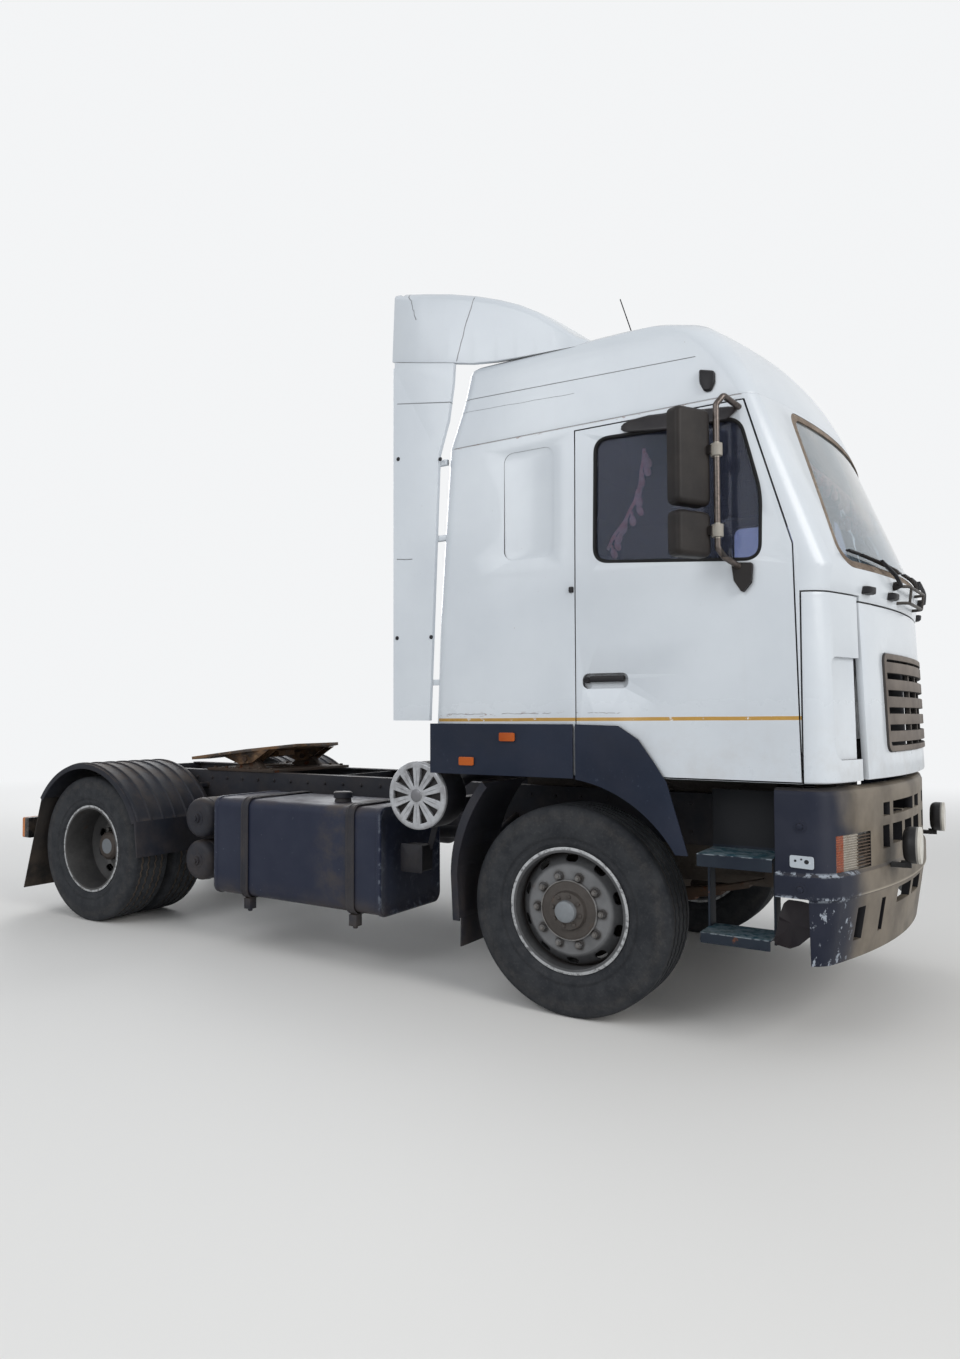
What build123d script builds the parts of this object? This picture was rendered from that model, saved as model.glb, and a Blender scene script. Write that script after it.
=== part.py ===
from build123d import *
from math import cos, radians, sin
import os

# Two-axle tractor unit, cab over engine. X runs forward, Y to the left, Z up from the ground.
# Stations along X are measured from the front axle, and the whole is moved to mid length at the end.

# Overall sizes
FRONT_OVERHANG = 1450
WHEELBASE = 3630
REAR_OVERHANG = 780
LENGTH = FRONT_OVERHANG + WHEELBASE + REAR_OVERHANG
AXLE_X = LENGTH / 2 - FRONT_OVERHANG
REAR_AXLE = -WHEELBASE
SIDES = {"right": -1, "left": 1}

# Wheels and tyres
TYRE_RADIUS = 507
TYRE_WIDTH = 314
BEAD_RADIUS = 291
RIM_WALL = 13
RIM_HALF = 126
FLANGE_HEIGHT = 14
FRONT_TYRE_Y = 1032
OUTER_TYRE_Y = 1042
TWIN_SPACING = 345
INNER_TYRE_Y = OUTER_TYRE_Y - TWIN_SPACING
NUT_CIRCLE = 167
NUTS = 10
NUT_RADIUS = 16
NUT_LENGTH = 26
VENTS = 10
FRONT_VENT_CIRCLE = 246
REAR_VENT_CIRCLE = 226
VENT_LENGTH = 62
VENT_WIDTH = 34
SPINDLE_RADIUS = 38
SPINDLE_FIT = 2

# Steering
KINGPIN_Y = 950
KINGPIN_RADIUS = 22
EYE_RADIUS = 45
EYE_HEIGHT = 100
LUG_THICK = 34
LUG_GAP = 3

# Chassis
RAIL_TOP = 1040
RAIL_HEIGHT = 270
RAIL_FLANGE = 80
RAIL_WALL = 8
RAIL_Y = 430
RAIL_FRONT = 1180
RAIL_REAR = -4240
RAIL_DROP = 100
SPRING_WIDTH = 76
LEAF = 16

# Cab: outer form as level sections, from the sill to the drip line and on to the roof's crown
SILL_Z = 1165
BAY_FLOOR_Z = 1205
FLAP_BOTTOM_Z = 1172
FLAP_TOP_Z = 1940
SCREEN_LOW_Z = 2075
SCREEN_TOP_Z = 2815
DRIP_Z = 2835
CAB_WALL = 38
REAR_CORNER = 70
# z, rear x, half width, front x, front drop at the side, front corner radius
CAB_SECTIONS = [
    (SILL_Z, -722, 1250, 1402, 225, 130),
    (FLAP_TOP_Z, -692, 1250, 1372, 225, 130),
    (SCREEN_LOW_Z, -683, 1249, 1388, 225, 130),
    (DRIP_Z, -635, 1240, 1090, 190, 90),
]
ROOF_SECTIONS = [
    (DRIP_Z, -635, 1240, 1090, 190, 90),
    (2940, -604, 1229, 1046, 190, 105),
    (3040, -575, 1216, 994, 192, 120),
    (3110, -558, 1208, 948, 194, 135),
    (3170, -547, 1201, 900, 196, 150),
    (3218, -541, 1194, 848, 200, 165),
    (3248, -536, 1182, 760, 205, 180),
    (3264, -528, 1158, 640, 200, 190),
    (3284, -510, 1090, 500, 170, 200),
    (3312, -470, 940, 330, 130, 200),
    (3336, -400, 720, 170, 80, 180),
    (3352, -300, 440, 20, 40, 140),
]

# Joint lines
TILT_X = 1250
TILT_Z = 950
FLAP_HINGE_X = 1375
FLAP_HINGE_Z = 1937
DOOR_HINGE_X = 1076
DOOR_HINGE_Y = 1252

# Doors
DOOR_REAR = 90
DOOR_FRONT_LOW = 1073
DOOR_FRONT_MID = 1050
DOOR_FRONT_TOP = 862
DOOR_MID_Z = 2160
DOOR_TOP_Z = 2805
DOOR_BOTTOM_Z = 1172
DOOR_GAP = 6
ARCH_RADIUS = 645
FLARE_TOP_Z = 1405
FLARE_PROUD = 22
FLARE_WALL = 10
FLARE_DEPTH = 120

# Bumper and front lamps
BUMPER_TOP = 1145
BUMPER_SIDE_LOW = 696
BUMPER_LEDGE = 788
BUMPER_LOW = 420
BUMPER_REAR = 962
BUMPER_WALL = 34
BUMPER_FRONT = 1400

# Fifth wheel
KINGPIN_X = -2960
PLATE_TOP = 1196
PLATE_LENGTH = 900
PLATE_WIDTH = 860
PLATE_THICK = 22
PLATE_TILT = 7
PLATE_PIVOT_X = KINGPIN_X + 60
PLATE_PIVOT_Z = 1128
JAW_DEPTH = 60
PIVOT_PIN = 20
KINGPIN_BORE = 25.5
THROAT_MOUTH = 470

MUDGUARD_RADIUS = 600
MUDGUARD_WALL = 8


def box(x0, x1, y0, y1, z0, z1):
    """Box between two corners."""
    return Pos((x0 + x1) / 2, (y0 + y1) / 2, (z0 + z1) / 2) * Box(x1 - x0, y1 - y0, z1 - z0)


def rod(radius, start, end):
    """Round bar between two points."""
    start, end = Vector(*start), Vector(*end)
    return Plane(start, z_dir=end - start) * Cylinder(
        radius, (end - start).length, align=(Align.CENTER, Align.CENTER, Align.MIN))


def tube_path(points, radius, bend):
    """Round tube along straight runs joined by tangent bends."""
    line = FilletPolyline(*points, radius=bend)
    section = Plane(origin=line @ 0, z_dir=line % 0) * Circle(radius)
    return sweep(section, path=line)


def side_prism(points, y0, y1, radius=0):
    """Outline drawn in side view as (x, z) points, extruded from y0 to y1."""
    face = make_face(Polyline(*[(x, z) for x, z in points], close=True))
    if radius:
        face = fillet(face.vertices(), radius)
    return Plane.XZ.offset(-y0) * extrude(face, -(y1 - y0))


def front_prism(points, x0, x1, radius=0):
    """Outline drawn in front view as (y, z) points, extruded from x0 to x1."""
    face = make_face(Polyline(*points, close=True))
    if radius:
        face = fillet(face.vertices(), radius)
    return Plane.YZ.offset(x0) * extrude(face, x1 - x0)


def plan_section(z, rear, half, front, drop, corner, inset=0):
    """Level outline of the cab: bowed front, rounded corners, inset all round."""
    rear, half, front = rear + inset, half - inset, front - inset
    line = Polyline((front - drop, half), (rear, half), (rear, -half), (front - drop, -half))
    bow = ThreePointArc((front - drop, -half), (front, 0), (front - drop, half))
    face = make_face([line, bow])
    front_corners = face.vertices().sort_by(Axis.X)[-2:]
    rear_corners = face.vertices().sort_by(Axis.X)[:2]
    face = fillet(rear_corners, max(REAR_CORNER - inset, 10))
    front_corners = [v for v in face.vertices() if abs(v.X - (front - drop)) < 1 and abs(abs(v.Y) - half) < 1]
    return Pos(0, 0, z) * fillet(front_corners, max(corner - inset, 10))


def cab_form(sections, inset=0, top=None, bottom=None):
    """Ruled loft through the level sections, inset by a wall where asked."""
    rows = [list(row) for row in sections]
    if bottom is not None:
        rows[0][0] = bottom
    if top is not None:
        rows[-1][0] = top
    return loft([plan_section(*row, inset=inset).face() for row in rows], ruled=True)


def both(shape):
    """The piece and its twin on the other side of the mid plane."""
    return [shape, mirror(shape, about=Plane.XZ)]


def wheel_solid(points):
    """Closed (y, r) outline turned about the wheel's axle along Y."""
    face = make_face(Plane.YZ * Polyline(*points, close=True))
    return revolve(face, Axis.Y)


def export(name, shape):
    """Write one sub-part, moved from the front axle's station to mid length."""
    solids = shape if isinstance(shape, (list, ShapeList)) else [shape]
    pieces = [s for one in solids for s in one.solids()]
    body = pieces[0] if len(pieces) == 1 else Compound(children=pieces)
    export_step(Pos(AXLE_X, 0, 0) * body, f"parts/{name}.step")


os.makedirs("parts", exist_ok=True)

# Tyres: rounded sidewalls between the bead and the tread's shoulder
half_width = TYRE_WIDTH / 2
widest_radius = 0.42 * BEAD_RADIUS + 0.58 * TYRE_RADIUS - 10


def tyre(x, y):
    """One tyre as a solid ring, its bead just outside the rim."""
    bead = half_width - 34
    lines = [
        Polyline((-bead, BEAD_RADIUS + FLANGE_HEIGHT), (-bead, BEAD_RADIUS), (bead, BEAD_RADIUS),
                 (bead, BEAD_RADIUS + FLANGE_HEIGHT)),
        ThreePointArc((bead, BEAD_RADIUS + FLANGE_HEIGHT), (half_width, widest_radius),
                      (half_width - 14, TYRE_RADIUS - 30)),
        Polyline((half_width - 14, TYRE_RADIUS - 30), (half_width - 34, TYRE_RADIUS),
                 (34 - half_width, TYRE_RADIUS), (14 - half_width, TYRE_RADIUS - 30)),
        ThreePointArc((14 - half_width, TYRE_RADIUS - 30), (-half_width, widest_radius),
                      (-bead, BEAD_RADIUS + FLANGE_HEIGHT)),
    ]
    face = make_face([Plane.YZ * line for line in lines])
    return Pos(x, y, TYRE_RADIUS) * revolve(face, Axis.Y)


def rim(x, y, side, disc, vent_circle):
    """One rim: barrel, both flanges, vented disc; disc is a list of (outward y, r) along its outer face."""
    barrel_in = BEAD_RADIUS - RIM_WALL
    lip = RIM_HALF + 8
    flange = BEAD_RADIUS + FLANGE_HEIGHT - 1
    barrel = wheel_solid([(-lip, barrel_in), (lip, barrel_in), (lip, flange), (RIM_HALF, flange),
                          (RIM_HALF, BEAD_RADIUS - 1), (-RIM_HALF, BEAD_RADIUS - 1), (-RIM_HALF, flange),
                          (-lip, flange)])
    inner = [(y_out - RIM_WALL, r) for y_out, r in disc]
    plate = wheel_solid(disc + inner[::-1])
    vent = Plane.XZ * extrude(SlotOverall(VENT_LENGTH, VENT_WIDTH), 400, both=True)
    vents = [Rot(0, i * 360 / VENTS, 0) * Pos(0, 0, vent_circle) * vent for i in range(VENTS)]
    wheel = barrel + (plate - vents)
    if side < 0:
        wheel = mirror(wheel, about=Plane.XZ)
    return Pos(x, y * side, TYRE_RADIUS) * wheel


def nuts(x, y, side, reach):
    """Ring of wheel nuts standing outwards from y."""
    nut = Plane.XZ * extrude(RegularPolygon(NUT_RADIUS, 6), -reach)
    ring = [Rot(0, (i + 0.5) * 360 / NUTS, 0) * Pos(0, 0, NUT_CIRCLE) * nut for i in range(NUTS)]
    if side < 0:
        ring = [mirror(n, about=Plane.XZ) for n in ring]
    return [Pos(x, y * side, TYRE_RADIUS) * n for n in ring]


FRONT_FACE = 112
FRONT_DISC = [(30, BEAD_RADIUS - RIM_WALL + 1), (58, 268), (88, 236), (101, 222), (FRONT_FACE, 208),
              (FRONT_FACE, 60)]
DRUM_RADIUS = 205
DRUM_WALL = 14
HUB_FLANGE = 142
HUB_STEP = 8
HUB_RADIUS = 88
CAP_RADIUS = 54
for name, side in SIDES.items():
    export(f"tyre_front_{name}", tyre(0, FRONT_TYRE_Y * side))
    wheel = rim(0, FRONT_TYRE_Y, side, FRONT_DISC, FRONT_VENT_CIRCLE)
    wheel += nuts(0, FRONT_TYRE_Y + FRONT_FACE - 2, side, NUT_LENGTH)
    bore = SPINDLE_RADIUS + SPINDLE_FIT
    hub = wheel_solid([(-8, bore), (-8, DRUM_RADIUS), (FRONT_FACE - RIM_WALL, DRUM_RADIUS - 20),
                       (FRONT_FACE - RIM_WALL, HUB_FLANGE), (FRONT_FACE + HUB_STEP, HUB_FLANGE),
                       (FRONT_FACE + HUB_STEP + 4, HUB_RADIUS + 8), (FRONT_FACE + 36, HUB_RADIUS),
                       (FRONT_FACE + 36, CAP_RADIUS), (FRONT_FACE + 60, CAP_RADIUS - 4),
                       (FRONT_FACE + 64, CAP_RADIUS - 12), (FRONT_FACE + 64, 0), (FRONT_FACE - 10, 0),
                       (FRONT_FACE - 10, bore)])
    if side < 0:
        hub = mirror(hub, about=Plane.XZ)
    export(f"wheel_front_{name}", wheel + Pos(0, FRONT_TYRE_Y * side, TYRE_RADIUS) * hub)

# Rear twin wheels: deep dished outer rim, its disc bolted to the inner one at mid spacing
TWIN_MID = TWIN_SPACING / 2
REAR_HUB_RADIUS = 118
REAR_HUB_BORE = 70
REAR_HUB_CAP = 40
REAR_HUB_END = OUTER_TYRE_Y - 20
REAR_DRUM_Y = INNER_TYRE_Y - 120
for name, side in SIDES.items():
    export(f"tyres_rear_{name}", [tyre(REAR_AXLE, y * side) for y in (OUTER_TYRE_Y, INNER_TYRE_Y)])
    outer = rim(REAR_AXLE, OUTER_TYRE_Y, side,
                [(-90, BEAD_RADIUS - RIM_WALL + 1), (-120, 250), (-TWIN_MID + RIM_WALL, 200),
                 (-TWIN_MID + RIM_WALL, REAR_HUB_BORE + 20)], REAR_VENT_CIRCLE)
    inner = rim(REAR_AXLE, INNER_TYRE_Y, side,
                [(130, BEAD_RADIUS - RIM_WALL + 1), (150, 250), (TWIN_MID, 200),
                 (TWIN_MID, REAR_HUB_BORE + 20)], REAR_VENT_CIRCLE)
    wheel = outer + inner + nuts(REAR_AXLE, OUTER_TYRE_Y - TWIN_MID + RIM_WALL - 2, side, NUT_LENGTH + 20)
    hub = wheel_solid([(REAR_DRUM_Y, 110), (REAR_DRUM_Y, DRUM_RADIUS + 10), (INNER_TYRE_Y + 140, DRUM_RADIUS),
                       (INNER_TYRE_Y + 140, REAR_HUB_RADIUS), (REAR_HUB_END, REAR_HUB_RADIUS - 20),
                       (REAR_HUB_END + 14, REAR_HUB_RADIUS - 40), (REAR_HUB_END + 14, 0),
                       (REAR_HUB_END - REAR_HUB_CAP, 0), (REAR_HUB_END - REAR_HUB_CAP, REAR_HUB_BORE),
                       (INNER_TYRE_Y + 60, REAR_HUB_BORE), (INNER_TYRE_Y + 60, 110)])
    if side < 0:
        hub = mirror(hub, about=Plane.XZ)
    export(f"wheels_rear_{name}", wheel + Pos(REAR_AXLE, 0, TYRE_RADIUS) * hub)

# Steering knuckles: fork lugs above and below the axle eye, back plate, spindle
lug_low = TYRE_RADIUS - EYE_HEIGHT / 2 - LUG_GAP - LUG_THICK
lug_high = TYRE_RADIUS + EYE_HEIGHT / 2 + LUG_GAP
PLATE_Y = KINGPIN_Y + EYE_RADIUS + 8
for name, side in SIDES.items():
    knuckle = Part()
    for z in (lug_low, lug_high):
        lug = Pos(0, KINGPIN_Y, z + LUG_THICK / 2) * Cylinder(EYE_RADIUS, LUG_THICK)
        lug += box(-EYE_RADIUS, EYE_RADIUS, KINGPIN_Y, PLATE_Y + 10, z, z + LUG_THICK)
        knuckle += lug - Pos(0, KINGPIN_Y, z) * Cylinder(KINGPIN_RADIUS + 1, 4 * LUG_THICK)
    knuckle += box(-EYE_RADIUS, EYE_RADIUS, PLATE_Y, PLATE_Y + 10, lug_low, lug_high + LUG_THICK)
    spindle_end = FRONT_TYRE_Y + FRONT_FACE - 14
    knuckle += rod(SPINDLE_RADIUS, (0, PLATE_Y, TYRE_RADIUS), (0, spindle_end, TYRE_RADIUS))
    knuckle += tube_path([(0, KINGPIN_Y, lug_low + 17), (-120, KINGPIN_Y - 30, lug_low + 17),
                          (-200, KINGPIN_Y - 90, lug_low + 17)], 14, 60)
    knuckle -= Pos(0, KINGPIN_Y, TYRE_RADIUS) * Cylinder(KINGPIN_RADIUS + 1, 3 * EYE_HEIGHT)
    export(f"knuckle_{name}", knuckle if side > 0 else mirror(knuckle, about=Plane.XZ))

# Front axle: dropped beam with an eye and its kingpin at each end, on two leaf springs
SPRING_Y = 400
BEAM_DROP = 110
beam_z = TYRE_RADIUS - BEAM_DROP
front_axle = box(-45, 45, -640, 640, beam_z - 55, beam_z + 55)
for side in SIDES.values():
    rise = front_prism([(side * 620, beam_z - 55), (side * 620, beam_z + 55),
                        (side * (KINGPIN_Y - EYE_RADIUS - 20), TYRE_RADIUS + EYE_HEIGHT / 2),
                        (side * KINGPIN_Y, TYRE_RADIUS + EYE_HEIGHT / 2),
                        (side * KINGPIN_Y, TYRE_RADIUS - EYE_HEIGHT / 2),
                        (side * (KINGPIN_Y - EYE_RADIUS - 20), TYRE_RADIUS - EYE_HEIGHT / 2)], -32, 32)
    front_axle += rise
    front_axle += Pos(0, side * KINGPIN_Y, TYRE_RADIUS) * Cylinder(EYE_RADIUS, EYE_HEIGHT)
    front_axle += Pos(0, side * KINGPIN_Y, TYRE_RADIUS) * Cylinder(
        KINGPIN_RADIUS, EYE_HEIGHT + 2 * (LUG_GAP + LUG_THICK))
export("front_axle", front_axle)


def leaf_spring(x, y, z, half_length, sag, leaves):
    """Stack of bowed leaves, each shorter than the one above, on a seat block."""
    stack = []
    for i in range(leaves):
        reach = half_length * (1 - 0.17 * i)
        drop = sag * (1 - 0.17 * i) ** 2
        z_mid = z + (leaves - i) * LEAF
        arc = ThreePointArc((-reach, z_mid + drop), (0, z_mid), (reach, z_mid + drop))
        under = ThreePointArc((reach, z_mid + drop - LEAF), (0, z_mid - LEAF), (-reach, z_mid + drop - LEAF))
        ends = [Line((reach, z_mid + drop), (reach, z_mid + drop - LEAF)),
                Line((-reach, z_mid + drop - LEAF), (-reach, z_mid + drop))]
        face = make_face([arc, ends[0], under, ends[1]])
        stack.append(Plane.XZ * extrude(face, SPRING_WIDTH / 2, both=True))
    spring = stack[0]
    for one in stack[1:]:
        spring += one
    return Pos(x, y, 0) * spring


spring_seat = beam_z + 55
rail_low = RAIL_TOP - RAIL_HEIGHT
front_springs = []
for side in SIDES.values():
    spring = leaf_spring(0, side * SPRING_Y, spring_seat, 800, 130, 4)
    for x in (-770, 770):
        spring += box(x - 30, x + 30, side * SPRING_Y - 38, side * SPRING_Y + 38, spring_seat + 150, rail_low)
    front_springs.append(spring)
export("front_springs", front_springs)

# Rear axle: tubes from the round gear housing, with springs and seats
AXLE_END_GAP = 8
axle = Pos(REAR_AXLE, 0, TYRE_RADIUS) * Sphere(215)
axle &= box(REAR_AXLE - 170, REAR_AXLE + 215, -215, 215, TYRE_RADIUS - 215, TYRE_RADIUS + 215)
axle_end = REAR_HUB_END - REAR_HUB_CAP - AXLE_END_GAP
axle += rod(REAR_HUB_BORE - AXLE_END_GAP, (REAR_AXLE, -axle_end, TYRE_RADIUS),
            (REAR_AXLE, axle_end, TYRE_RADIUS))
axle += rod(95, (REAR_AXLE, -540, TYRE_RADIUS), (REAR_AXLE, 540, TYRE_RADIUS))
axle += rod(70, (REAR_AXLE, 0, TYRE_RADIUS), (REAR_AXLE + 320, 0, TYRE_RADIUS + 20))
rear_seat = TYRE_RADIUS + 95
export("rear_axle", axle)
REAR_SPRING_Y = 475
rear_springs = []
for side in SIDES.values():
    y = side * REAR_SPRING_Y
    spring = leaf_spring(REAR_AXLE, y, rear_seat, 570, 60, 5)
    for x in (-540, 540):
        spring += box(REAR_AXLE + x - 28, REAR_AXLE + x + 28, y - 36, y + 36, rear_seat + 100, rail_low + 60)
    rear_springs.append(spring - box(RAIL_REAR, 0, -RAIL_Y - 1, RAIL_Y + 1, rail_low, RAIL_TOP))
export("rear_springs", rear_springs)

# Propeller shaft, engine, radiator
ENGINE = (-620, 780, -340, 340, 560, 1270)
GEARBOX_END = -1150
prop = rod(55, (GEARBOX_END, 0, 700), (REAR_AXLE + 330, 0, TYRE_RADIUS + 20))
engine = box(*ENGINE)
engine = chamfer(engine.edges().filter_by(Axis.X), 60)
engine += Plane.YZ.offset(ENGINE[0]) * extrude(Pos(0, 760) * Circle(210), GEARBOX_END - ENGINE[0], taper=6)
export("engine_block", engine)
export("propeller_shaft", prop - engine - axle)
export("radiator", box(960, 1060, -340, 340, 640, 1290))

# Side rails: channels open to the middle, joined by crossmembers
rails = Part()
web = [(RAIL_REAR, RAIL_TOP), (RAIL_FRONT, RAIL_TOP), (RAIL_FRONT, rail_low + RAIL_DROP),
       (RAIL_FRONT - 260, rail_low), (RAIL_REAR + 200, rail_low), (RAIL_REAR, rail_low + 60)]
CROSSMEMBERS = [(-4225, 60), (-3000, 90), (-2100, 80), (-1250, 80)]
for side in SIDES.values():
    y_out = side * RAIL_Y
    lo, hi = sorted((y_out, y_out - side * RAIL_FLANGE))
    channel = side_prism(web, lo, hi)
    inner = [(RAIL_REAR - 10, RAIL_TOP - RAIL_WALL), (RAIL_FRONT + 10, RAIL_TOP - RAIL_WALL),
             (RAIL_FRONT + 10, rail_low + RAIL_DROP), (RAIL_FRONT - 258, rail_low + RAIL_WALL),
             (RAIL_REAR + 198, rail_low + RAIL_WALL), (RAIL_REAR - 10, rail_low + 60)]
    lo, hi = sorted((y_out - side * RAIL_WALL, y_out - side * (RAIL_FLANGE + 10)))
    rails += channel - side_prism(inner, lo, hi)
for x, height in CROSSMEMBERS:
    beam_top = RAIL_TOP - RAIL_WALL
    rails += box(x - 8, x + 8, -RAIL_Y + RAIL_WALL, RAIL_Y - RAIL_WALL, beam_top - height, beam_top)
rails += rod(45, (1120, -RAIL_Y + 4, 915), (1120, RAIL_Y - 4, 915))
rails += box(960, 1060, -350, 350, 622, 640)
for side in SIDES.values():
    a, b = sorted((side * 342, side * 351))
    rails += box(960, 1060, a, b, 622, 900)
export("frame_rails", rails)

# Fuel tank on the right: rounded box with pressed seams, held by two straps on brackets
TANK = (-2420, -1120, -1155, -520, 322, 935)
TANK_CORNER = 60
STRAP_WIDTH = 60
STRAP_WALL = 5
STRAPS = (-2150, -1330)
tank_face = make_face(Polyline((TANK[2], TANK[4]), (TANK[3], TANK[4]), (TANK[3], TANK[5]), (TANK[2], TANK[5]),
                               close=True))
tank_face = fillet(tank_face.vertices(), TANK_CORNER)
tank = Plane.YZ.offset(TANK[0]) * extrude(tank_face, TANK[1] - TANK[0])
tank = fillet(tank.edges().filter_by(GeomType.LINE).filter_by(Axis.X, reverse=True), 18)
export("fuel_tank", tank)
strap_out, strap_in = TANK[2] - STRAP_WALL, TANK[3] + 12
strap_low, strap_high = TANK[4] - STRAP_WALL, TANK[5] + STRAP_WALL
strap_face = make_face(Polyline((strap_out, strap_low), (strap_in, strap_low), (strap_in, strap_high),
                                (strap_out, strap_high), close=True))
strap_face = fillet(strap_face.vertices(), TANK_CORNER + STRAP_WALL) - tank_face
straps = []
for x in STRAPS:
    band = Plane.YZ.offset(x - STRAP_WIDTH / 2) * extrude(strap_face, STRAP_WIDTH)
    band += box(x - 30, x + 30, TANK[3] + 6, -RAIL_Y, rail_low + 20, rail_low + 110)
    band += box(x - 26, x + 26, -1130, -1075, TANK[4] - 70, TANK[4] - STRAP_WALL)
    straps.append(band)
export("tank_straps", straps)

# Air reservoirs: cylinders with domed ends, across behind the tank on the right, along on the left
AIR_RADIUS = 130


def reservoir(start, end, radius):
    """Cylinder with pressed ends."""
    tank = rod(radius, start, end)
    return fillet(tank.edges().filter_by(GeomType.CIRCLE), radius * 0.35)


reservoirs = [reservoir((-2640, -1090, z), (-2640, -RAIL_Y - 14, z), AIR_RADIUS) for z in (500, 775)]
reservoirs += [reservoir((-2500, y, 620), (-1700, y, 620), AIR_RADIUS) for y in (600, 880)]
cradle = box(-2700, -2580, -RAIL_Y - 12, -RAIL_Y, 350, 900)
for z in (500, 775):
    cradle += box(-2700, -2580, -760, -RAIL_Y, z - AIR_RADIUS - 12, z - AIR_RADIUS + 6)
for one in reservoirs[:2]:
    cradle -= one
hangers = [cradle] + [box(x - 20, x + 20, RAIL_Y, 1000, 750, 790) for x in (-2350, -1850)]
export("air_reservoirs", reservoirs)
export("reservoir_hangers", hangers)

# Battery box and silencer on the left, air cleaner drum and its round wheel trim on the right
BATTERY = (-1560, -960, 450, 1120, 560, 960)
battery = box(*BATTERY)
battery = fillet(battery.edges().filter_by(Axis.X), 30)
battery += box(-1500, -1020, RAIL_Y, BATTERY[2] + 4, 800, 900)
export("battery_box", battery)
export("silencer", reservoir((-900, 760, 640), (-640, 760, 640), 230) + box(-800, -740, RAIL_Y, 650, 770, 830))
DRUM = (-845, 1020)
DRUM_SIZE = 180
drum = rod(DRUM_SIZE, (DRUM[0], -1180, DRUM[1]), (DRUM[0], -960, DRUM[1]))
drum = fillet(drum.edges().filter_by(GeomType.CIRCLE).sort_by(Axis.Y)[-1:], 40)
drum += tube_path([(DRUM[0], -980, DRUM[1]), (DRUM[0], -650, 1110), (DRUM[0], -200, 1110),
                   (ENGINE[0], -200, 1110)], 50, 90)
drum += box(DRUM[0] - 35, DRUM[0] + 35, -970, -RAIL_Y, 900, 980)
export("air_cleaner", drum)
TRIM_SPOKES = 10
trim = Pos(DRUM[0], -1180, DRUM[1]) * (wheel_solid([(0, 150), (0, 182), (-18, 182), (-26, 172), (-26, 150)])
                                       + wheel_solid([(0, 0), (0, 34), (-30, 34), (-34, 26), (-34, 0)]))
spoke = Plane.XZ * extrude(make_face(Polyline((-13, 30), (13, 30), (24, 155), (-24, 155), close=True)), 26)
for i in range(TRIM_SPOKES):
    trim += Pos(DRUM[0], -1180, DRUM[1]) * (Rot(0, i * 360 / TRIM_SPOKES, 0) * spoke)
export("wheel_trim", trim)

# Front mudguards behind the steered wheels, with rubber flaps
MUD_Y = (760, 1240)
rails_block = box(RAIL_REAR, RAIL_FRONT, -RAIL_Y, RAIL_Y, rail_low, RAIL_TOP)
guard_face = make_face([
    ThreePointArc((-430, 1112), (-560, 900), (-612, 640)), Line((-612, 640), (-600, 400)),
    Line((-600, 400), (-590, 400)), Line((-590, 400), (-602, 640)),
    ThreePointArc((-602, 640), (-551, 895), (-420, 1106)), Line((-420, 1106), (-430, 1112))])
guard = Plane.XZ.offset(MUD_Y[0]) * extrude(guard_face, MUD_Y[1] - MUD_Y[0])
rim_face = make_face([
    ThreePointArc((-430, 1112), (-560, 900), (-612, 640)), Line((-612, 640), (-600, 400)),
    Line((-600, 400), (-560, 400)), Line((-560, 400), (-575, 640)),
    ThreePointArc((-575, 640), (-520, 880), (-400, 1085)), Line((-400, 1085), (-430, 1112))])
guard += Plane.XZ.offset(MUD_Y[1] - 8) * extrude(rim_face, 8)
guard += Plane.XZ.offset(MUD_Y[0] + 80) * extrude(make_face(Polyline((-599, 430), (-591, 430), (-596, 250),
                                                                     (-603, 250), close=True)), 320)
guard += rod(20, (-585, -MUD_Y[0] - 20, 800), (-660, -RAIL_Y + 40, 860)) - rails_block
export("front_mudguards", both(guard))

# Rear mudguards: ribbed half rings over each pair of tyres, flat front panel, flap behind
GUARD_Y = (525, 1245)
GUARD_RIBS = 7
GUARD_RIB_WIDTH = 24
GUARD_RIB_SLOPE = 4
GUARD_RIB_HEIGHT = 9
GUARD_LIP = 34
STAY_RADIUS = 22
STAY_SINK = 4
STAY_ANGLES = (47, 132)
FRONT_ANGLE, REAR_ANGLE = 22, 146


def round_axle(r, a):
    """Point (x, z) at a radius from the rear axle, its angle up from forward."""
    return REAR_AXLE + r * cos(radians(a)), TYRE_RADIUS + r * sin(radians(a))


rib_pitch = (GUARD_Y[1] - GUARD_Y[0] - GUARD_RIB_WIDTH - 40) / (GUARD_RIBS - 1)
guard_line = [(GUARD_Y[0], MUDGUARD_RADIUS - MUDGUARD_WALL), (GUARD_Y[0], MUDGUARD_RADIUS)]
for i in range(GUARD_RIBS):
    y = GUARD_Y[0] + 20 + i * rib_pitch
    guard_line += [(y, MUDGUARD_RADIUS), (y + GUARD_RIB_SLOPE, MUDGUARD_RADIUS + GUARD_RIB_HEIGHT),
                   (y + GUARD_RIB_WIDTH - GUARD_RIB_SLOPE, MUDGUARD_RADIUS + GUARD_RIB_HEIGHT),
                   (y + GUARD_RIB_WIDTH, MUDGUARD_RADIUS)]
guard_line += [(GUARD_Y[1], MUDGUARD_RADIUS), (GUARD_Y[1], MUDGUARD_RADIUS - GUARD_LIP),
               (GUARD_Y[1] - MUDGUARD_WALL, MUDGUARD_RADIUS - GUARD_LIP),
               (GUARD_Y[1] - MUDGUARD_WALL, MUDGUARD_RADIUS - MUDGUARD_WALL)]
guard_section = make_face(Polyline(*[(r, -y) for y, r in guard_line], close=True))
rear_guard = revolve(guard_section, Axis((0, 0, 0), (0, -1, 0)), REAR_ANGLE - FRONT_ANGLE)
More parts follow.
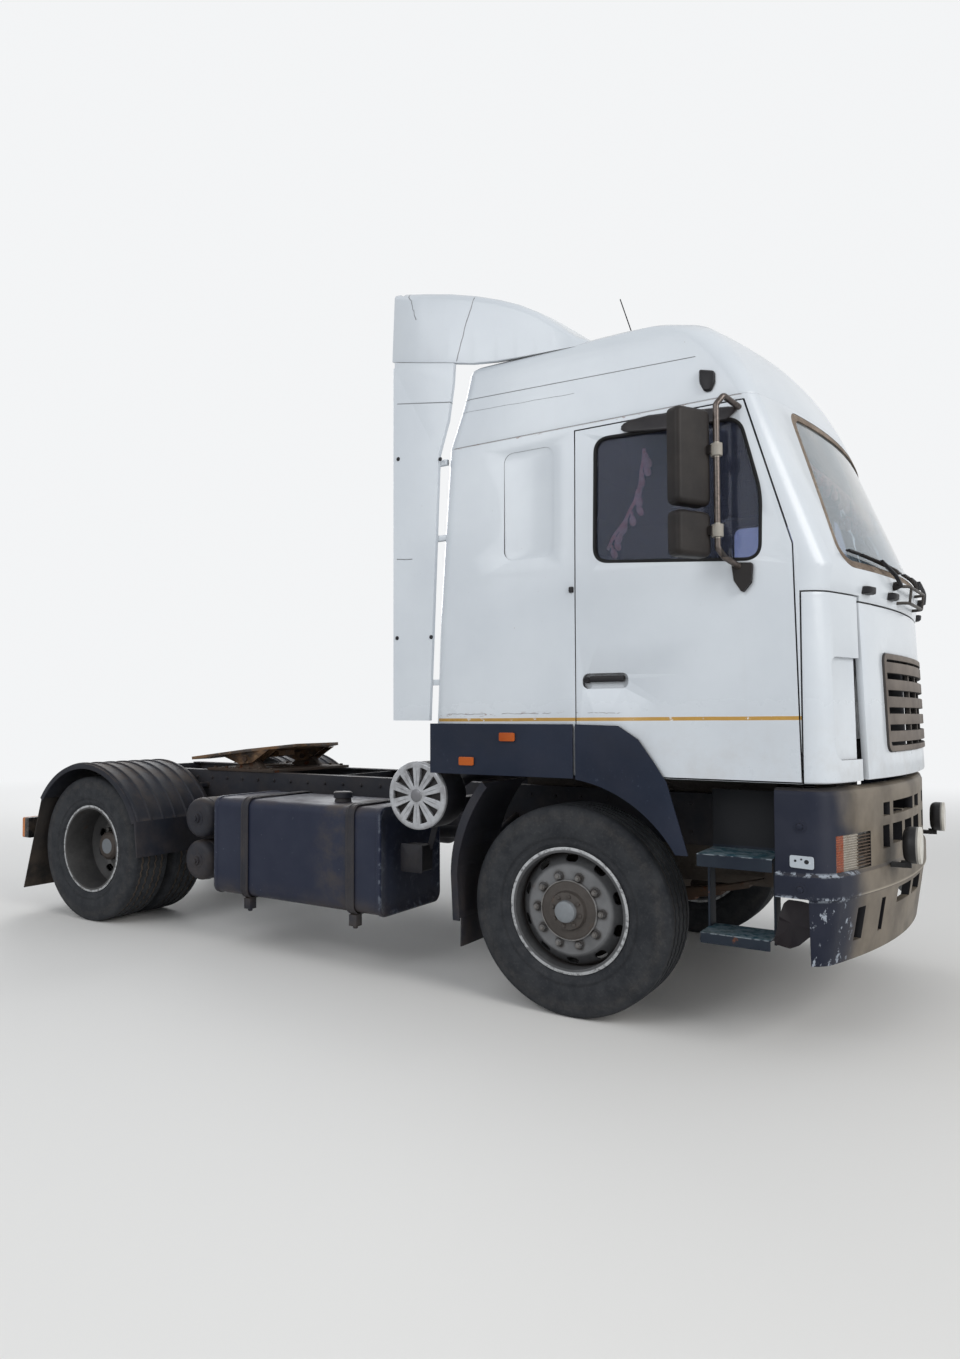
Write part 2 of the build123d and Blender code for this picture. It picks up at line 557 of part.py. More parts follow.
rear_guard = Pos(REAR_AXLE, 0, TYRE_RADIUS) * Rot(0, -FRONT_ANGLE, 0) * rear_guard
front_x, front_z = round_axle(MUDGUARD_RADIUS - 2, FRONT_ANGLE)
rear_guard += side_prism([(front_x - 8, front_z), (front_x + 6, front_z + 6), (front_x + 34, 500),
                          (front_x + 22, 500)], -GUARD_Y[1], -GUARD_Y[0])
flap_top = [round_axle(r, REAR_ANGLE) for r in (MUDGUARD_RADIUS - MUDGUARD_WALL - 2, MUDGUARD_RADIUS)]
flap_low = (flap_top[1][0] - 205, 170)
rear_flap = side_prism([flap_top[0], flap_top[1], flap_low, (flap_low[0] + MUDGUARD_WALL, 168)],
                       -GUARD_Y[1] + MUDGUARD_WALL + 2, -GUARD_Y[0] - 30)
stay_circle = MUDGUARD_RADIUS - MUDGUARD_WALL - STAY_RADIUS + STAY_SINK
for angle in STAY_ANGLES:
    x, z = round_axle(stay_circle, angle)
    rear_guard += rod(STAY_RADIUS, (x, -GUARD_Y[0] - 60, z), (x, -RAIL_Y - 0.5, z)) - rails_block
export("rear_mudguards", both(rear_guard))
export("rear_flaps", both(rear_flap))
LAMP = (-WHEELBASE - REAR_OVERHANG, -WHEELBASE - REAR_OVERHANG + 75, -1200, -800, 530, 680)
lamp = fillet(box(*LAMP).edges().filter_by(Axis.X), 12)
lamp += box(LAMP[1] - 1, RAIL_REAR + 10, -830, -790, 560, 620)
lamp += box(RAIL_REAR - 30, RAIL_REAR + 10, -830, -RAIL_Y, 560, 600)
lamp += box(RAIL_REAR - 10, RAIL_REAR + 2, -RAIL_Y - 30, -RAIL_Y + 70, 560, rail_low + 120)
export("tail_lamps", both(lamp - box(RAIL_REAR - 0.1, 0, -RAIL_Y - 0.1, 0, rail_low, RAIL_TOP)))

# Fifth wheel: base plate and pedestals on the rails, pitching top plate with throat
base = box(PLATE_PIVOT_X - 330, PLATE_PIVOT_X + 330, -440, 440, RAIL_TOP, RAIL_TOP + 18)
for side in SIDES.values():
    a, b = sorted((side * 290, side * 350))
    base += side_prism([(PLATE_PIVOT_X - 140, RAIL_TOP + 17), (PLATE_PIVOT_X + 140, RAIL_TOP + 17),
                        (PLATE_PIVOT_X + 30, PLATE_PIVOT_Z + 26), (PLATE_PIVOT_X - 30, PLATE_PIVOT_Z + 26)],
                       a, b)
    base += rod(PIVOT_PIN, (PLATE_PIVOT_X, side * 250, PLATE_PIVOT_Z),
                (PLATE_PIVOT_X, side * 390, PLATE_PIVOT_Z))
base -= rod(75, (KINGPIN_X, 0, RAIL_TOP - 5), (KINGPIN_X, 0, RAIL_TOP + 30))
export("fifth_wheel_base", base)

x0, x1 = KINGPIN_X - PLATE_LENGTH / 2, KINGPIN_X + PLATE_LENGTH / 2
half = PLATE_WIDTH / 2
outline = Polyline((x0, half), (KINGPIN_X + 120, half), (x1, half - 190), (x1, 190 - half),
                   (KINGPIN_X + 120, -half), (x0, -half), (x0, -THROAT_MOUTH / 2),
                   (KINGPIN_X - 110, -KINGPIN_BORE - 6),
                   (KINGPIN_X, -KINGPIN_BORE), (KINGPIN_X, KINGPIN_BORE), (KINGPIN_X - 110, KINGPIN_BORE + 6),
                   (x0, THROAT_MOUTH / 2), close=True)
top = extrude(make_face(outline), PLATE_THICK) - Pos(KINGPIN_X, 0, 0) * Cylinder(KINGPIN_BORE, 4 * PLATE_THICK)
plate = Pos(0, 0, PLATE_TOP - PLATE_THICK) * top
for side in SIDES.values():
    web_top = PLATE_TOP - PLATE_THICK + 1
    web_face = [(PLATE_PIVOT_X - 240, web_top), (PLATE_PIVOT_X + 240, web_top),
                (PLATE_PIVOT_X + 60, PLATE_PIVOT_Z - 34), (PLATE_PIVOT_X - 60, PLATE_PIVOT_Z - 34)]
    for y in (262, 362):
        a, b = sorted((side * y, side * (y + 16)))
        plate += side_prism(web_face, a, b) - rod(PIVOT_PIN + 1, (PLATE_PIVOT_X, a - 5, PLATE_PIVOT_Z),
                                                  (PLATE_PIVOT_X, b + 5, PLATE_PIVOT_Z))
jaw = box(KINGPIN_X - 30, KINGPIN_X + 130, -90, 90, PLATE_TOP - JAW_DEPTH, PLATE_TOP - PLATE_THICK + 1)
jaw -= Pos(KINGPIN_X, 0, PLATE_TOP) * Cylinder(KINGPIN_BORE, 4 * JAW_DEPTH)
jaw -= box(KINGPIN_X - 200, KINGPIN_X, -KINGPIN_BORE, KINGPIN_BORE, PLATE_TOP - 100, PLATE_TOP)
plate += jaw
pivot = Pos(PLATE_PIVOT_X, 0, PLATE_PIVOT_Z)
export("fifth_wheel_plate", pivot * Rot(0, -PLATE_TILT, 0) * pivot.inverse() * plate)

# Cab shell: outer form less the inside, with door openings, window, screen and flap bay cut
outer = cab_form(CAB_SECTIONS)
FLOOR = 40
inside = cab_form(CAB_SECTIONS, inset=CAB_WALL, bottom=SILL_Z + FLOOR, top=DRIP_Z + 1)
FIREWALL = 1090
inside -= box(FIREWALL, 1500, -1300, 1300, SILL_Z, FLAP_TOP_Z - 20)
shell = outer - inside
BAY_HALF = 930
BAY_FLARE = 38
bay = [(-BAY_HALF, FLAP_TOP_Z), (BAY_HALF, FLAP_TOP_Z), (BAY_HALF + BAY_FLARE, SILL_Z - 10),
       (-BAY_HALF - BAY_FLARE, SILL_Z - 10)]
shell -= front_prism(bay, FIREWALL + 50, 1500)
shell -= box(900, 1500, -BAY_HALF, BAY_HALF, SILL_Z - 10, BAY_FLOOR_Z)
TUNNEL_HALF, TUNNEL_TOP = 450, 1330
tunnel = box(-760, FIREWALL + 60, -TUNNEL_HALF, TUNNEL_HALF, SILL_Z - 1, TUNNEL_TOP)
hood = box(-700, FIREWALL + 50, -TUNNEL_HALF - 20, TUNNEL_HALF + 20, SILL_Z + 1, TUNNEL_TOP + 20)
shell += hood & outer
shell -= tunnel

# Front corner panels: moulded pieces laid in steps of the shell beside the flap, each with a hollow channel
CORNER_WALL = 26
CORNER_SEAT = 0.5
CORNER_GAP = 7
CORNER_REAR = 1083
CORNER_INNER = 941
CORNER_TOP = 1955
CHANNEL_DEPTH = 18
CHANNEL = [(CORNER_INNER - 60, 1262), (1180, 1262), (1180, 1690), (CORNER_INNER - 60, 1690)]
corner_skin = outer - cab_form(CAB_SECTIONS, inset=CORNER_WALL)
channel_skin = outer - cab_form(CAB_SECTIONS, inset=CHANNEL_DEPTH)
corner_line = [(CORNER_INNER, CORNER_TOP), (1300, CORNER_TOP), (1300, FLAP_BOTTOM_Z),
               (CORNER_INNER + BAY_FLARE, FLAP_BOTTOM_Z)]
corner = corner_skin & front_prism(corner_line, CORNER_REAR, 1500)
corner = corner.solids().sort_by(SortBy.VOLUME)[-1]
corner -= channel_skin & front_prism(CHANNEL, 1100, 1500, 40)
for one in both(box(CORNER_REAR - CORNER_GAP, 1500, BAY_HALF - 10, 1300, SILL_Z - 10, CORNER_TOP + CORNER_GAP)):
    shell -= one - cab_form(CAB_SECTIONS, inset=CORNER_WALL + CORNER_SEAT)
export("corner_panels", both(corner))

door_line = [(DOOR_REAR, DOOR_TOP_Z), (DOOR_FRONT_TOP, DOOR_TOP_Z), (DOOR_FRONT_MID, DOOR_MID_Z),
             (DOOR_FRONT_LOW, DOOR_BOTTOM_Z), (DOOR_REAR, DOOR_BOTTOM_Z)]


def grown(points, gap):
    """Outline moved out by a gap on every side, from its middle."""
    cx = sum(x for x, _ in points) / len(points)
    cz = sum(z for _, z in points) / len(points)
    return [(x + gap * (1 if x > cx else -1), z + gap * (1 if z > cz else -1)) for x, z in points]


RECESS = [(-292, 2756), (-22, 2756), (-22, 2216), (-292, 2216)]
WINDOW = [(190, 2750), (846, 2732), (930, 2394), (924, 2108), (184, 2168)]
screen_line = [(-1095, SCREEN_LOW_Z), (1095, SCREEN_LOW_Z), (955, SCREEN_TOP_Z), (-955, SCREEN_TOP_Z)]
for side in SIDES.values():
    a, b = sorted((side * 1120, side * 1300))
    shell -= side_prism(grown(door_line, DOOR_GAP), a, b)
    a, b = sorted((side * (1250 - 12), side * 1300))
    shell -= side_prism(RECESS, a, b, 50)
shell -= front_prism(screen_line, 700, 1500, 90)
export("cab_shell", shell)

# Windscreen: curved glass in a rubber frame
SEAL = 34
glass_line = [(y - SEAL * (1 if y > 0 else -1), z + SEAL * (1 if z < 2400 else -1)) for y, z in screen_line]
skin = outer - cab_form(CAB_SECTIONS, inset=CAB_WALL - 6)
opening = front_prism(screen_line, 700, 1500, 90)
pane = front_prism(glass_line, 700, 1500, 70)
export("windscreen_rubber", (skin & opening) - pane)
glass_skin = cab_form(CAB_SECTIONS, inset=8) - cab_form(CAB_SECTIONS, inset=16)
export("windscreen", glass_skin & pane)

# High roof of moulded plastic
ROOF_WALL = 30
roof = cab_form(ROOF_SECTIONS) - cab_form(ROOF_SECTIONS[:-1], inset=ROOF_WALL, bottom=DRIP_Z - 1)
export("high_roof", roof)

# Front flap: the panel between the corner panels, open round the grille
FLAP_GAP = 9
FLAP_WALL = 24
GRILLE = [(-700, 1285), (700, 1285), (700, 1725), (-700, 1725)]
flap_skin = outer - cab_form(CAB_SECTIONS, inset=FLAP_WALL)
flap = flap_skin & box(1100, 1500, -BAY_HALF + FLAP_GAP, BAY_HALF - FLAP_GAP, FLAP_BOTTOM_Z, FLAP_TOP_Z - 6)
flap = flap.solids().sort_by(Axis.X)[-1]
flap -= front_prism(GRILLE, 1100, 1500, 40)
export("front_flap", flap)

GRILLE_EDGE = 26
SLATS = 5
grille_skin = cab_form(CAB_SECTIONS, inset=-8) - cab_form(CAB_SECTIONS, inset=FLAP_WALL)
grille_hole = [(y - GRILLE_EDGE * (1 if y > 0 else -1), z + GRILLE_EDGE * (1 if z < 1500 else -1))
               for y, z in GRILLE]
grille_all = (grille_skin & front_prism(GRILLE, 1100, 1500, 40)).solids().sort_by(Axis.X)[-1]
grille = grille_all - front_prism(grille_hole, 1100, 1500, 20)
slat_pitch = (grille_hole[2][1] - grille_hole[0][1]) / SLATS
for i in range(SLATS):
    z = grille_hole[0][1] + i * slat_pitch
    grille += grille_all & box(1100, 1500, -690, 690, z + 0.22 * slat_pitch, z + 0.85 * slat_pitch)
for y in (-225, 0, 225):
    grille += grille_all & (box(1100, 1500, y - 12, y + 12, 1290, 1720)) & cab_form(CAB_SECTIONS, inset=8)
export("grille", grille)

# Doors: the shell's wall inside the door's outline, with the window cut and the glass in it, and a pull
# bar in a pocket
HANDLE_Z = 1607
HANDLE_DEPTH = 26
HANDLE_POCKET = [(122, HANDLE_Z + 36), (345, HANDLE_Z + 36), (345, HANDLE_Z - 36), (122, HANDLE_Z - 36)]
for name, side in SIDES.items():
    a, b = sorted((side * 1120, side * 1300))
    door = (outer - cab_form(CAB_SECTIONS, inset=CAB_WALL)) & side_prism(door_line, a, b)
    door = door.solids().sort_by(SortBy.VOLUME)[-1]
    door -= rod(ARCH_RADIUS + 8, (0, a, TYRE_RADIUS), (0, b, TYRE_RADIUS))
    door -= side_prism(WINDOW, a, b, 60)
    a, b = sorted((side * (DOOR_HINGE_Y - HANDLE_DEPTH), side * 1300))
    door -= side_prism(HANDLE_POCKET, a, b, 30)
    a, b = sorted((side * (DOOR_HINGE_Y - HANDLE_DEPTH + 9), side * (DOOR_HINGE_Y + 2)))
    bar = box(HANDLE_POCKET[0][0] + 40, HANDLE_POCKET[1][0] - 24, a, b, HANDLE_Z - 3, HANDLE_Z + 21)
    bar = fillet(bar.edges().filter_by(Axis.X), 6)
    a, b = sorted((side * (DOOR_HINGE_Y - HANDLE_DEPTH - 4), side * (DOOR_HINGE_Y - HANDLE_DEPTH + 12)))
    bar += box(HANDLE_POCKET[0][0] + 56, HANDLE_POCKET[0][0] + 86, a, b, HANDLE_Z, HANDLE_Z + 18)
    bar += box(HANDLE_POCKET[1][0] - 70, HANDLE_POCKET[1][0] - 40, a, b, HANDLE_Z, HANDLE_Z + 18)
    door += bar
    export(f"door_{name}", door)
    pane = cab_form(CAB_SECTIONS, inset=12) - cab_form(CAB_SECTIONS, inset=18)
    pane &= side_prism(WINDOW, a, b, 60)
    export(f"door_glass_{name}", pane)

# Wheel-arch flare carried by each door, and the black skirt behind it on the cab
FLARE_OUT = 1250 + FLARE_PROUD


def flare_face(inset):
    """Side outline of the flare, between its outer edge and the wheel arch."""
    outer_edge = Polyline((DOOR_REAR, FLARE_TOP_Z - inset), (300 - inset * 0.3, FLARE_TOP_Z - 6 - inset),
                          (393 - inset * 0.8, 1338 - inset * 0.6), (462 - inset * 0.8, 1240 - inset * 0.5),
                          (520 - inset * 0.8, 1150), (612 - inset, 834))
    arch_z = TYRE_RADIUS + (ARCH_RADIUS ** 2 - DOOR_REAR ** 2) ** 0.5
    arch_x = (ARCH_RADIUS ** 2 - (834 - TYRE_RADIUS) ** 2) ** 0.5
    mid = ARCH_RADIUS * 0.7071
    arch_edge = ThreePointArc((arch_x, 834), (mid, TYRE_RADIUS + mid), (DOOR_REAR, arch_z))
    return make_face([outer_edge, Line((612 - inset, 834), (arch_x, 834)), arch_edge,
                      Line((DOOR_REAR, arch_z), (DOOR_REAR, FLARE_TOP_Z - inset))])


for name, side in SIDES.items():
    flare = Plane.XZ.offset(FLARE_OUT - FLARE_WALL) * extrude(flare_face(0), FLARE_WALL)
    lip = Plane.XZ.offset(FLARE_OUT - FLARE_DEPTH) * extrude(
        flare_face(0) & Pos(0, TYRE_RADIUS) * Circle(ARCH_RADIUS + FLARE_WALL), FLARE_DEPTH - 2)
    flare += lip
    flare -= cab_form(CAB_SECTIONS)
    flare = flare.solids().sort_by(SortBy.VOLUME)[-1]
    export(f"door_flare_{name}", flare if side < 0 else mirror(flare, about=Plane.XZ))
SKIRT_GAP = 12
SKIRT_REAR = -716
skirt = box(SKIRT_REAR, DOOR_REAR - SKIRT_GAP, -FLARE_OUT, -FLARE_OUT + FLARE_WALL, 1150, FLARE_TOP_Z)
skirt += box(SKIRT_REAR, DOOR_REAR - SKIRT_GAP, -FLARE_OUT, -FLARE_OUT + 110, 1150, 1162)
skirt += box(SKIRT_REAR, SKIRT_REAR + 12, -FLARE_OUT, -FLARE_OUT + 110, 1150, FLARE_TOP_Z)
skirt += box(-500, -420, -FLARE_OUT, -1240, 1200, 1380)
skirt -= outer
export("cab_skirts", both(skirt))
markers = [box(x - 42, x + 42, -FLARE_OUT - 12, -FLARE_OUT, z - 21, z + 21)
           for x, z in ((-265, 1341), (-496, 1216))]
export("marker_lamps", [m for one in markers for m in both(one)])

# Roof spoiler and side fairings
SPOILER_WALL = 24
SPOILER_EDGE = 48
SPOILER_TOP = 3880
SPOILER_REAR = -980
SPOILER = [
    # x, half width low, half width high, low z, side top z, crown z
    (SPOILER_REAR, 1236, 1212, 3384, 3775, SPOILER_TOP),
    (-800, 1234, 1208, 3342, 3732, 3858),
    (-640, 1228, 1203, 3308, 3690, 3822),
    (-490, 1214, 1197, 3276, 3642, 3774),
    (-360, 1202, 1190, 3262, 3592, 3712),
    (-249, 1196, 1185, 3256, 3540, 3650),
    (-141, 1192, 1180, 3251, 3474, 3578),
    (-40, 1190, 1174, 3247, 3394, 3496),
    (60, 1186, 1164, 3243, 3308, 3410),
    (150, 1180, 1150, 3230, 3256, 3345),
]
# broken corner at the rear top of the right side, in side view
CHIP = [(SPOILER_REAR - 10, 3840), (SPOILER_REAR - 10, 3764), (-952, 3768), (-930, 3748), (-912, 3772),
        (-880, 3780), (-862, 3840)]


def spoiler_face(x, low_half, high_half, low_z, side_z, crown_z, inset=0, drop=0):
    """Arched section across the spoiler, with rounded shoulders."""
    low_half, high_half = low_half - inset, high_half - inset
    side_z, crown_z = side_z - inset, crown_z - inset
    low = low_z - drop
    sides = Polyline((-high_half, side_z), (-low_half, low), (low_half, low), (high_half, side_z))
    arch = ThreePointArc((high_half, side_z), (0, crown_z), (-high_half, side_z))
    face = make_face([sides, arch])
    shoulders = face.vertices().sort_by(Axis.Y)[-2:]
    return Plane.YZ.offset(x) * fillet(shoulders, min(SPOILER_EDGE, 0.6 * (side_z - low)) - inset / 2)


body = loft([spoiler_face(*row).face() for row in SPOILER], ruled=True)
hollow = loft([spoiler_face(*row, inset=SPOILER_WALL, drop=200).face() for row in
               [(SPOILER_REAR - 1,) + SPOILER[0][1:]] + SPOILER[1:]], ruled=True)
spoiler = body - hollow - cab_form(ROOF_SECTIONS)
spoiler -= side_prism(CHIP, -1300, -1120)
spoiler = spoiler.solids().sort_by(SortBy.VOLUME)[-1]
export("roof_spoiler", spoiler)

FAIRING_Y = 1248
FAIRING_WALL = 26
fairing_line = [(-965, 1420), (-736, 1420), (-676, 2815), (-618, 2994), (-588, 3185), (-582, 3286),
                (-957, 3371)]
fairing = side_prism(fairing_line, -FAIRING_Y, -FAIRING_Y + FAIRING_WALL)
fairing += box(-965, -955, -FAIRING_Y, -FAIRING_Y + 70, 1420, 3340)
for z in (1620, 2380, 2780):
    inner_y = FAIRING_WALL - FAIRING_Y
    fairing += box(-900, -640, inner_y - 2, inner_y + 22, z - 15, z + 15) - outer
export("side_fairings", both(fairing - spoiler))

# Inside the cab: seats and bunk, dashboard with steering wheel
seats = []
for y in (-760, 760):
    seat = fillet(box(-40, 480, y - 250, y + 250, 1560, 1700).edges(), 30)
    back = side_prism([(-60, 1640), (90, 1640), (-60, 2330), (-180, 2330)], y - 240, y + 240)
    seat += fillet(back.edges(), 20)
    seat += box(80, 360, y - 150, y + 150, SILL_Z + FLOOR, 1565)
    seats.append(seat)
bunk = fillet(box(-640, -180, -1180, 1180, 1560, 1700).edges().filter_by(Axis.Y), 30)
export("seats", seats + [bunk + box(-640, -220, -1150, 1150, TUNNEL_TOP + 20.2, 1565)])
dash = cab_form(CAB_SECTIONS, inset=CAB_WALL + 1) & side_prism(
    [(FIREWALL - 1, 1560), (FIREWALL - 1, FLAP_TOP_Z - 19), (1500, FLAP_TOP_Z - 19), (1500, 2035), (900, 2060),
     (760, 1960), (800, 1700), (960, 1560)], -1180, 1180)
WHEEL_AT = (600, 700, 1950)
WHEEL_RADIUS = 235
WHEEL_LEAN = 55
steering = Torus(WHEEL_RADIUS, 16) + Cylinder(60, 40)
steering += Box(2 * WHEEL_RADIUS - 20, 40, 14) + Box(40, 2 * WHEEL_RADIUS - 20, 14)
dash += Pos(*WHEEL_AT) * Rot(0, WHEEL_LEAN, 0) * steering
dash += rod(35, WHEEL_AT, (860, WHEEL_AT[1], 1760))
export("dashboard", dash)

# Bumper: wraps the front below the cab, with rows of openings and lamp pockets
BUMPER_HALF = 1250
BUMPER_STEP = 12
bumper_rows = [
    # z, rear x, half width, front x, front drop at the side, front corner radius
    (BUMPER_LOW, -722, BUMPER_HALF - 26, BUMPER_FRONT - 48, 225, 130),
    (BUMPER_SIDE_LOW - 6, -722, BUMPER_HALF - 10, BUMPER_FRONT - 8, 225, 130),
    (BUMPER_SIDE_LOW, -722, BUMPER_HALF, BUMPER_FRONT, 225, 130),
    (BUMPER_LEDGE, -722, BUMPER_HALF, BUMPER_FRONT, 225, 130),
    (BUMPER_LEDGE + 12, -722, BUMPER_HALF - BUMPER_STEP, BUMPER_FRONT - BUMPER_STEP, 225, 130),
    (BUMPER_TOP - 30, -722, BUMPER_HALF - BUMPER_STEP, BUMPER_FRONT - BUMPER_STEP, 225, 130),
    (BUMPER_TOP - 10, -722, BUMPER_HALF - BUMPER_STEP - 6, BUMPER_FRONT - BUMPER_STEP - 8, 225, 126),
    (BUMPER_TOP, -722, BUMPER_HALF - BUMPER_STEP - 20, BUMPER_FRONT - BUMPER_STEP - 24, 225, 120),
]
bumper_outer = cab_form(bumper_rows)
bumper = bumper_outer - cab_form(bumper_rows, inset=BUMPER_WALL, bottom=BUMPER_LOW - 1, top=BUMPER_TOP + 1)
bumper &= box(BUMPER_REAR, 1500, -1300, 1300, BUMPER_LOW, BUMPER_TOP)
bumper -= box(0, 1090, -1300, 1300, 0, BUMPER_SIDE_LOW)
OPENINGS = [
    # y from, y to, z from, z to
    (655, 735, 1003, 1062), (250, 610, 1003, 1062), (80, 205, 1003, 1062),
    (665, 745, 862, 962), (475, 620, 872, 962), (290, 430, 872, 962), (80, 245, 872, 962),
    (330, 560, 600, 672), (80, 285, 600, 672),
    (930, 1000, 500, 640), (720, 765, 505, 650),
]
for y0, y1, z0, z1 in OPENINGS:
    for one in both(box(1100, 1500, y0, y1, z0, z1)):
        bumper -= one
HEAD_POCKET = (1130, 1420, -1170, -880, BUMPER_LEDGE + 14, BUMPER_LEDGE + 164)
head_cut = box(*HEAD_POCKET)
bumper -= head_cut
bumper -= mirror(head_cut, about=Plane.XZ)
for side in SIDES.values():
    a, b = sorted((side * (RAIL_Y - 70), side * (RAIL_Y - 10)))
    bumper += box(RAIL_FRONT + 0.2, 1350, a, b, 930, 1010) & cab_form(bumper_rows)
export("bumper", bumper)
lamp_skin = cab_form(bumper_rows, inset=4) - cab_form(bumper_rows, inset=BUMPER_WALL + 60)
head = lamp_skin & box(HEAD_POCKET[0] + 2, HEAD_POCKET[1], HEAD_POCKET[2] + 1, HEAD_POCKET[3] - 1,
                       HEAD_POCKET[4], HEAD_POCKET[5])
export("head_lamps", [head, mirror(head, about=Plane.XZ)])
SPOT_RADIUS = 80
SPOT_Y = 690
spot = rod(SPOT_RADIUS, (FRONT_OVERHANG - 70, -SPOT_Y, 880), (FRONT_OVERHANG, -SPOT_Y, 880))
spot = fillet(spot.edges().filter_by(GeomType.CIRCLE).sort_by(Axis.X)[:1], 30)
spot += box(1330, FRONT_OVERHANG - 60, -SPOT_Y - 18, -SPOT_Y + 18, 780, 800)
spot += box(FRONT_OVERHANG - 80, FRONT_OVERHANG - 40, -SPOT_Y - 12, -SPOT_Y + 12, 780, 810)
spot -= bumper_outer
export("spot_lamps", [s for one in both(spot) for s in one.solids().sort_by(SortBy.VOLUME)[-1:]])

# Entry steps: a boxed upper tread under the door and a lower tray hung from it by two straps
STEP_OUT, STEP_IN = 1240, 985
STEP_REAR, STEP_FRONT = 640, 950
STEP_HIGH, STEP_LOW = 847, 500
STEP_PLATE = 10
tray_front = STEP_FRONT - 20
steps = box(STEP_REAR, STEP_FRONT, -STEP_OUT, -STEP_IN, STEP_HIGH - STEP_PLATE, STEP_HIGH)
steps += box(STEP_REAR, STEP_FRONT, -STEP_OUT, -STEP_OUT + STEP_PLATE, STEP_HIGH - 56, STEP_HIGH)
steps += box(STEP_REAR, STEP_FRONT, -STEP_IN, -STEP_IN + STEP_PLATE, STEP_HIGH - 56, 1110)
steps += box(STEP_REAR, STEP_REAR + STEP_PLATE, -STEP_OUT + 20, -STEP_IN, STEP_HIGH - 56, STEP_HIGH)
steps += box(STEP_REAR, tray_front, -STEP_OUT + 40, -STEP_IN, STEP_LOW - STEP_PLATE, STEP_LOW)
steps += box(STEP_REAR, tray_front, -STEP_OUT + 40, -STEP_OUT + 40 + STEP_PLATE, STEP_LOW - 46, STEP_LOW)
steps += box(STEP_REAR, tray_front, -STEP_IN - STEP_PLATE, -STEP_IN, STEP_LOW - 46, STEP_LOW)
for x in (STEP_REAR, tray_front - STEP_PLATE):
    steps += side_prism([(x, STEP_LOW - 46), (x + STEP_PLATE, STEP_LOW - 46), (x + STEP_PLATE, STEP_HIGH - 4),
                         (x, STEP_HIGH - 4)], -STEP_IN - 90, -STEP_IN)
steps += box(760, 840, -STEP_IN + STEP_PLATE - 1, -RAIL_Y, 930, 1000)
export("entry_steps", both(steps))

# Mirrors on the doors: bent tube between two brackets, a tall head and a small wide-angle head turned on it
TUBE_X = 785
TUBE_Y = 1375
TUBE_RADIUS = 13
HEAD_TURN = 30
HEAD_REACH = 196
HEAD_INNER = 6
HEAD_BACK = 20
HEAD_THICK = 62
HEADS = [
    # z from, z to, corner radius, clamp z
    (2330, 2745, 30, 2566),
    (2112, 2306, 30, 2222),
]
for name, side in SIDES.items():
    mirror_set = tube_path([(846, -1234, 2776), (TUBE_X + 25, -TUBE_Y + 22, 2800), (TUBE_X, -TUBE_Y, 2760),
                            (TUBE_X, -TUBE_Y, 2150), (TUBE_X + 20, -TUBE_Y + 26, 2112),
                            (850, -1254, 2075)], TUBE_RADIUS, 16)
    for low, high, corner_radius, clamp_z in HEADS:
        head = box(-HEAD_BACK - HEAD_THICK, -HEAD_BACK, -HEAD_REACH, -HEAD_INNER, low, high)
        head = fillet(head.edges().filter_by(Axis.X), corner_radius)
        head = fillet(head.faces().sort_by(Axis.X)[-1].edges(), 24)
        head += box(-HEAD_BACK - 4, 0, -HEAD_INNER - 30, 0, clamp_z - 18, clamp_z + 18)
        head += Pos(0, 0, clamp_z) * Cylinder(TUBE_RADIUS + 11, 52)
        mirror_set += Pos(TUBE_X, -TUBE_Y, 0) * Rot(0, 0, -HEAD_TURN) * head
    shield = side_prism([(812, 2100), (898, 2092), (892, 2010), (856, 1966), (822, 2020)], -1274, -1236, 8)
    mirror_set += shield
    mirror_set -= outer
    mirror_set = mirror_set.solids().sort_by(SortBy.VOLUME)[-1]
    export(f"mirror_{name}", mirror_set if side < 0 else mirror(mirror_set, about=Plane.XZ))
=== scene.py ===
from functools import reduce
from math import cos, pi, radians, sin

import bmesh
import bpy
import numpy as np
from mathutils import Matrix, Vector


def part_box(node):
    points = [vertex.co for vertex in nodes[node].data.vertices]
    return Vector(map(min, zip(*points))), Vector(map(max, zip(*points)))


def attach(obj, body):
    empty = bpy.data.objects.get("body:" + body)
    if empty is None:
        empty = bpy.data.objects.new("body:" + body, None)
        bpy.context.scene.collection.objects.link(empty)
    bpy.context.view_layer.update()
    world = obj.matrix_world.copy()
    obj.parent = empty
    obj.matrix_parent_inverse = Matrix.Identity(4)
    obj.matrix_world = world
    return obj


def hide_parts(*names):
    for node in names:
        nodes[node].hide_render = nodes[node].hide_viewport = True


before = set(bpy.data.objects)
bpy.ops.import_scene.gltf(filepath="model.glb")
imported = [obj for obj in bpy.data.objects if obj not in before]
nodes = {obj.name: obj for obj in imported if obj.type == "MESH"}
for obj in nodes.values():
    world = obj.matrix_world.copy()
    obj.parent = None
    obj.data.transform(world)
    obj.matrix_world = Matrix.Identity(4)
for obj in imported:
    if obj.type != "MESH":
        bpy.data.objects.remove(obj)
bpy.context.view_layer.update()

# Room: a pale studio floor under soft lamps, and the camera where the photographer stood, a few
# steps off the right front corner at eye height, with a wide lens and the picture's own crop.
EYE = Vector((3.308, -5.255, 1.444))
LOOK_YAW = radians(124.648)
LOOK_PITCH = radians(2.222)
PICTURE_WIDE = 960
PICTURE_HIGH = 1359
LENS_PIXELS = 906.6
AXIS_ACROSS = 397.0
AXIS_DOWN = 680.8
FILM = 36.0
FAR_CLIP = 200
FLOOR_GREY = (0.80, 0.79, 0.77)
ROOM_GREY = (0.90, 0.91, 0.92)
SKY_LIGHT = (0.93, 0.96, 1.0)
SKY_STRENGTH = 0.52
FLOOR_REACH = 40.0
FADE_FROM, FADE_TO = 5.0, 17.0


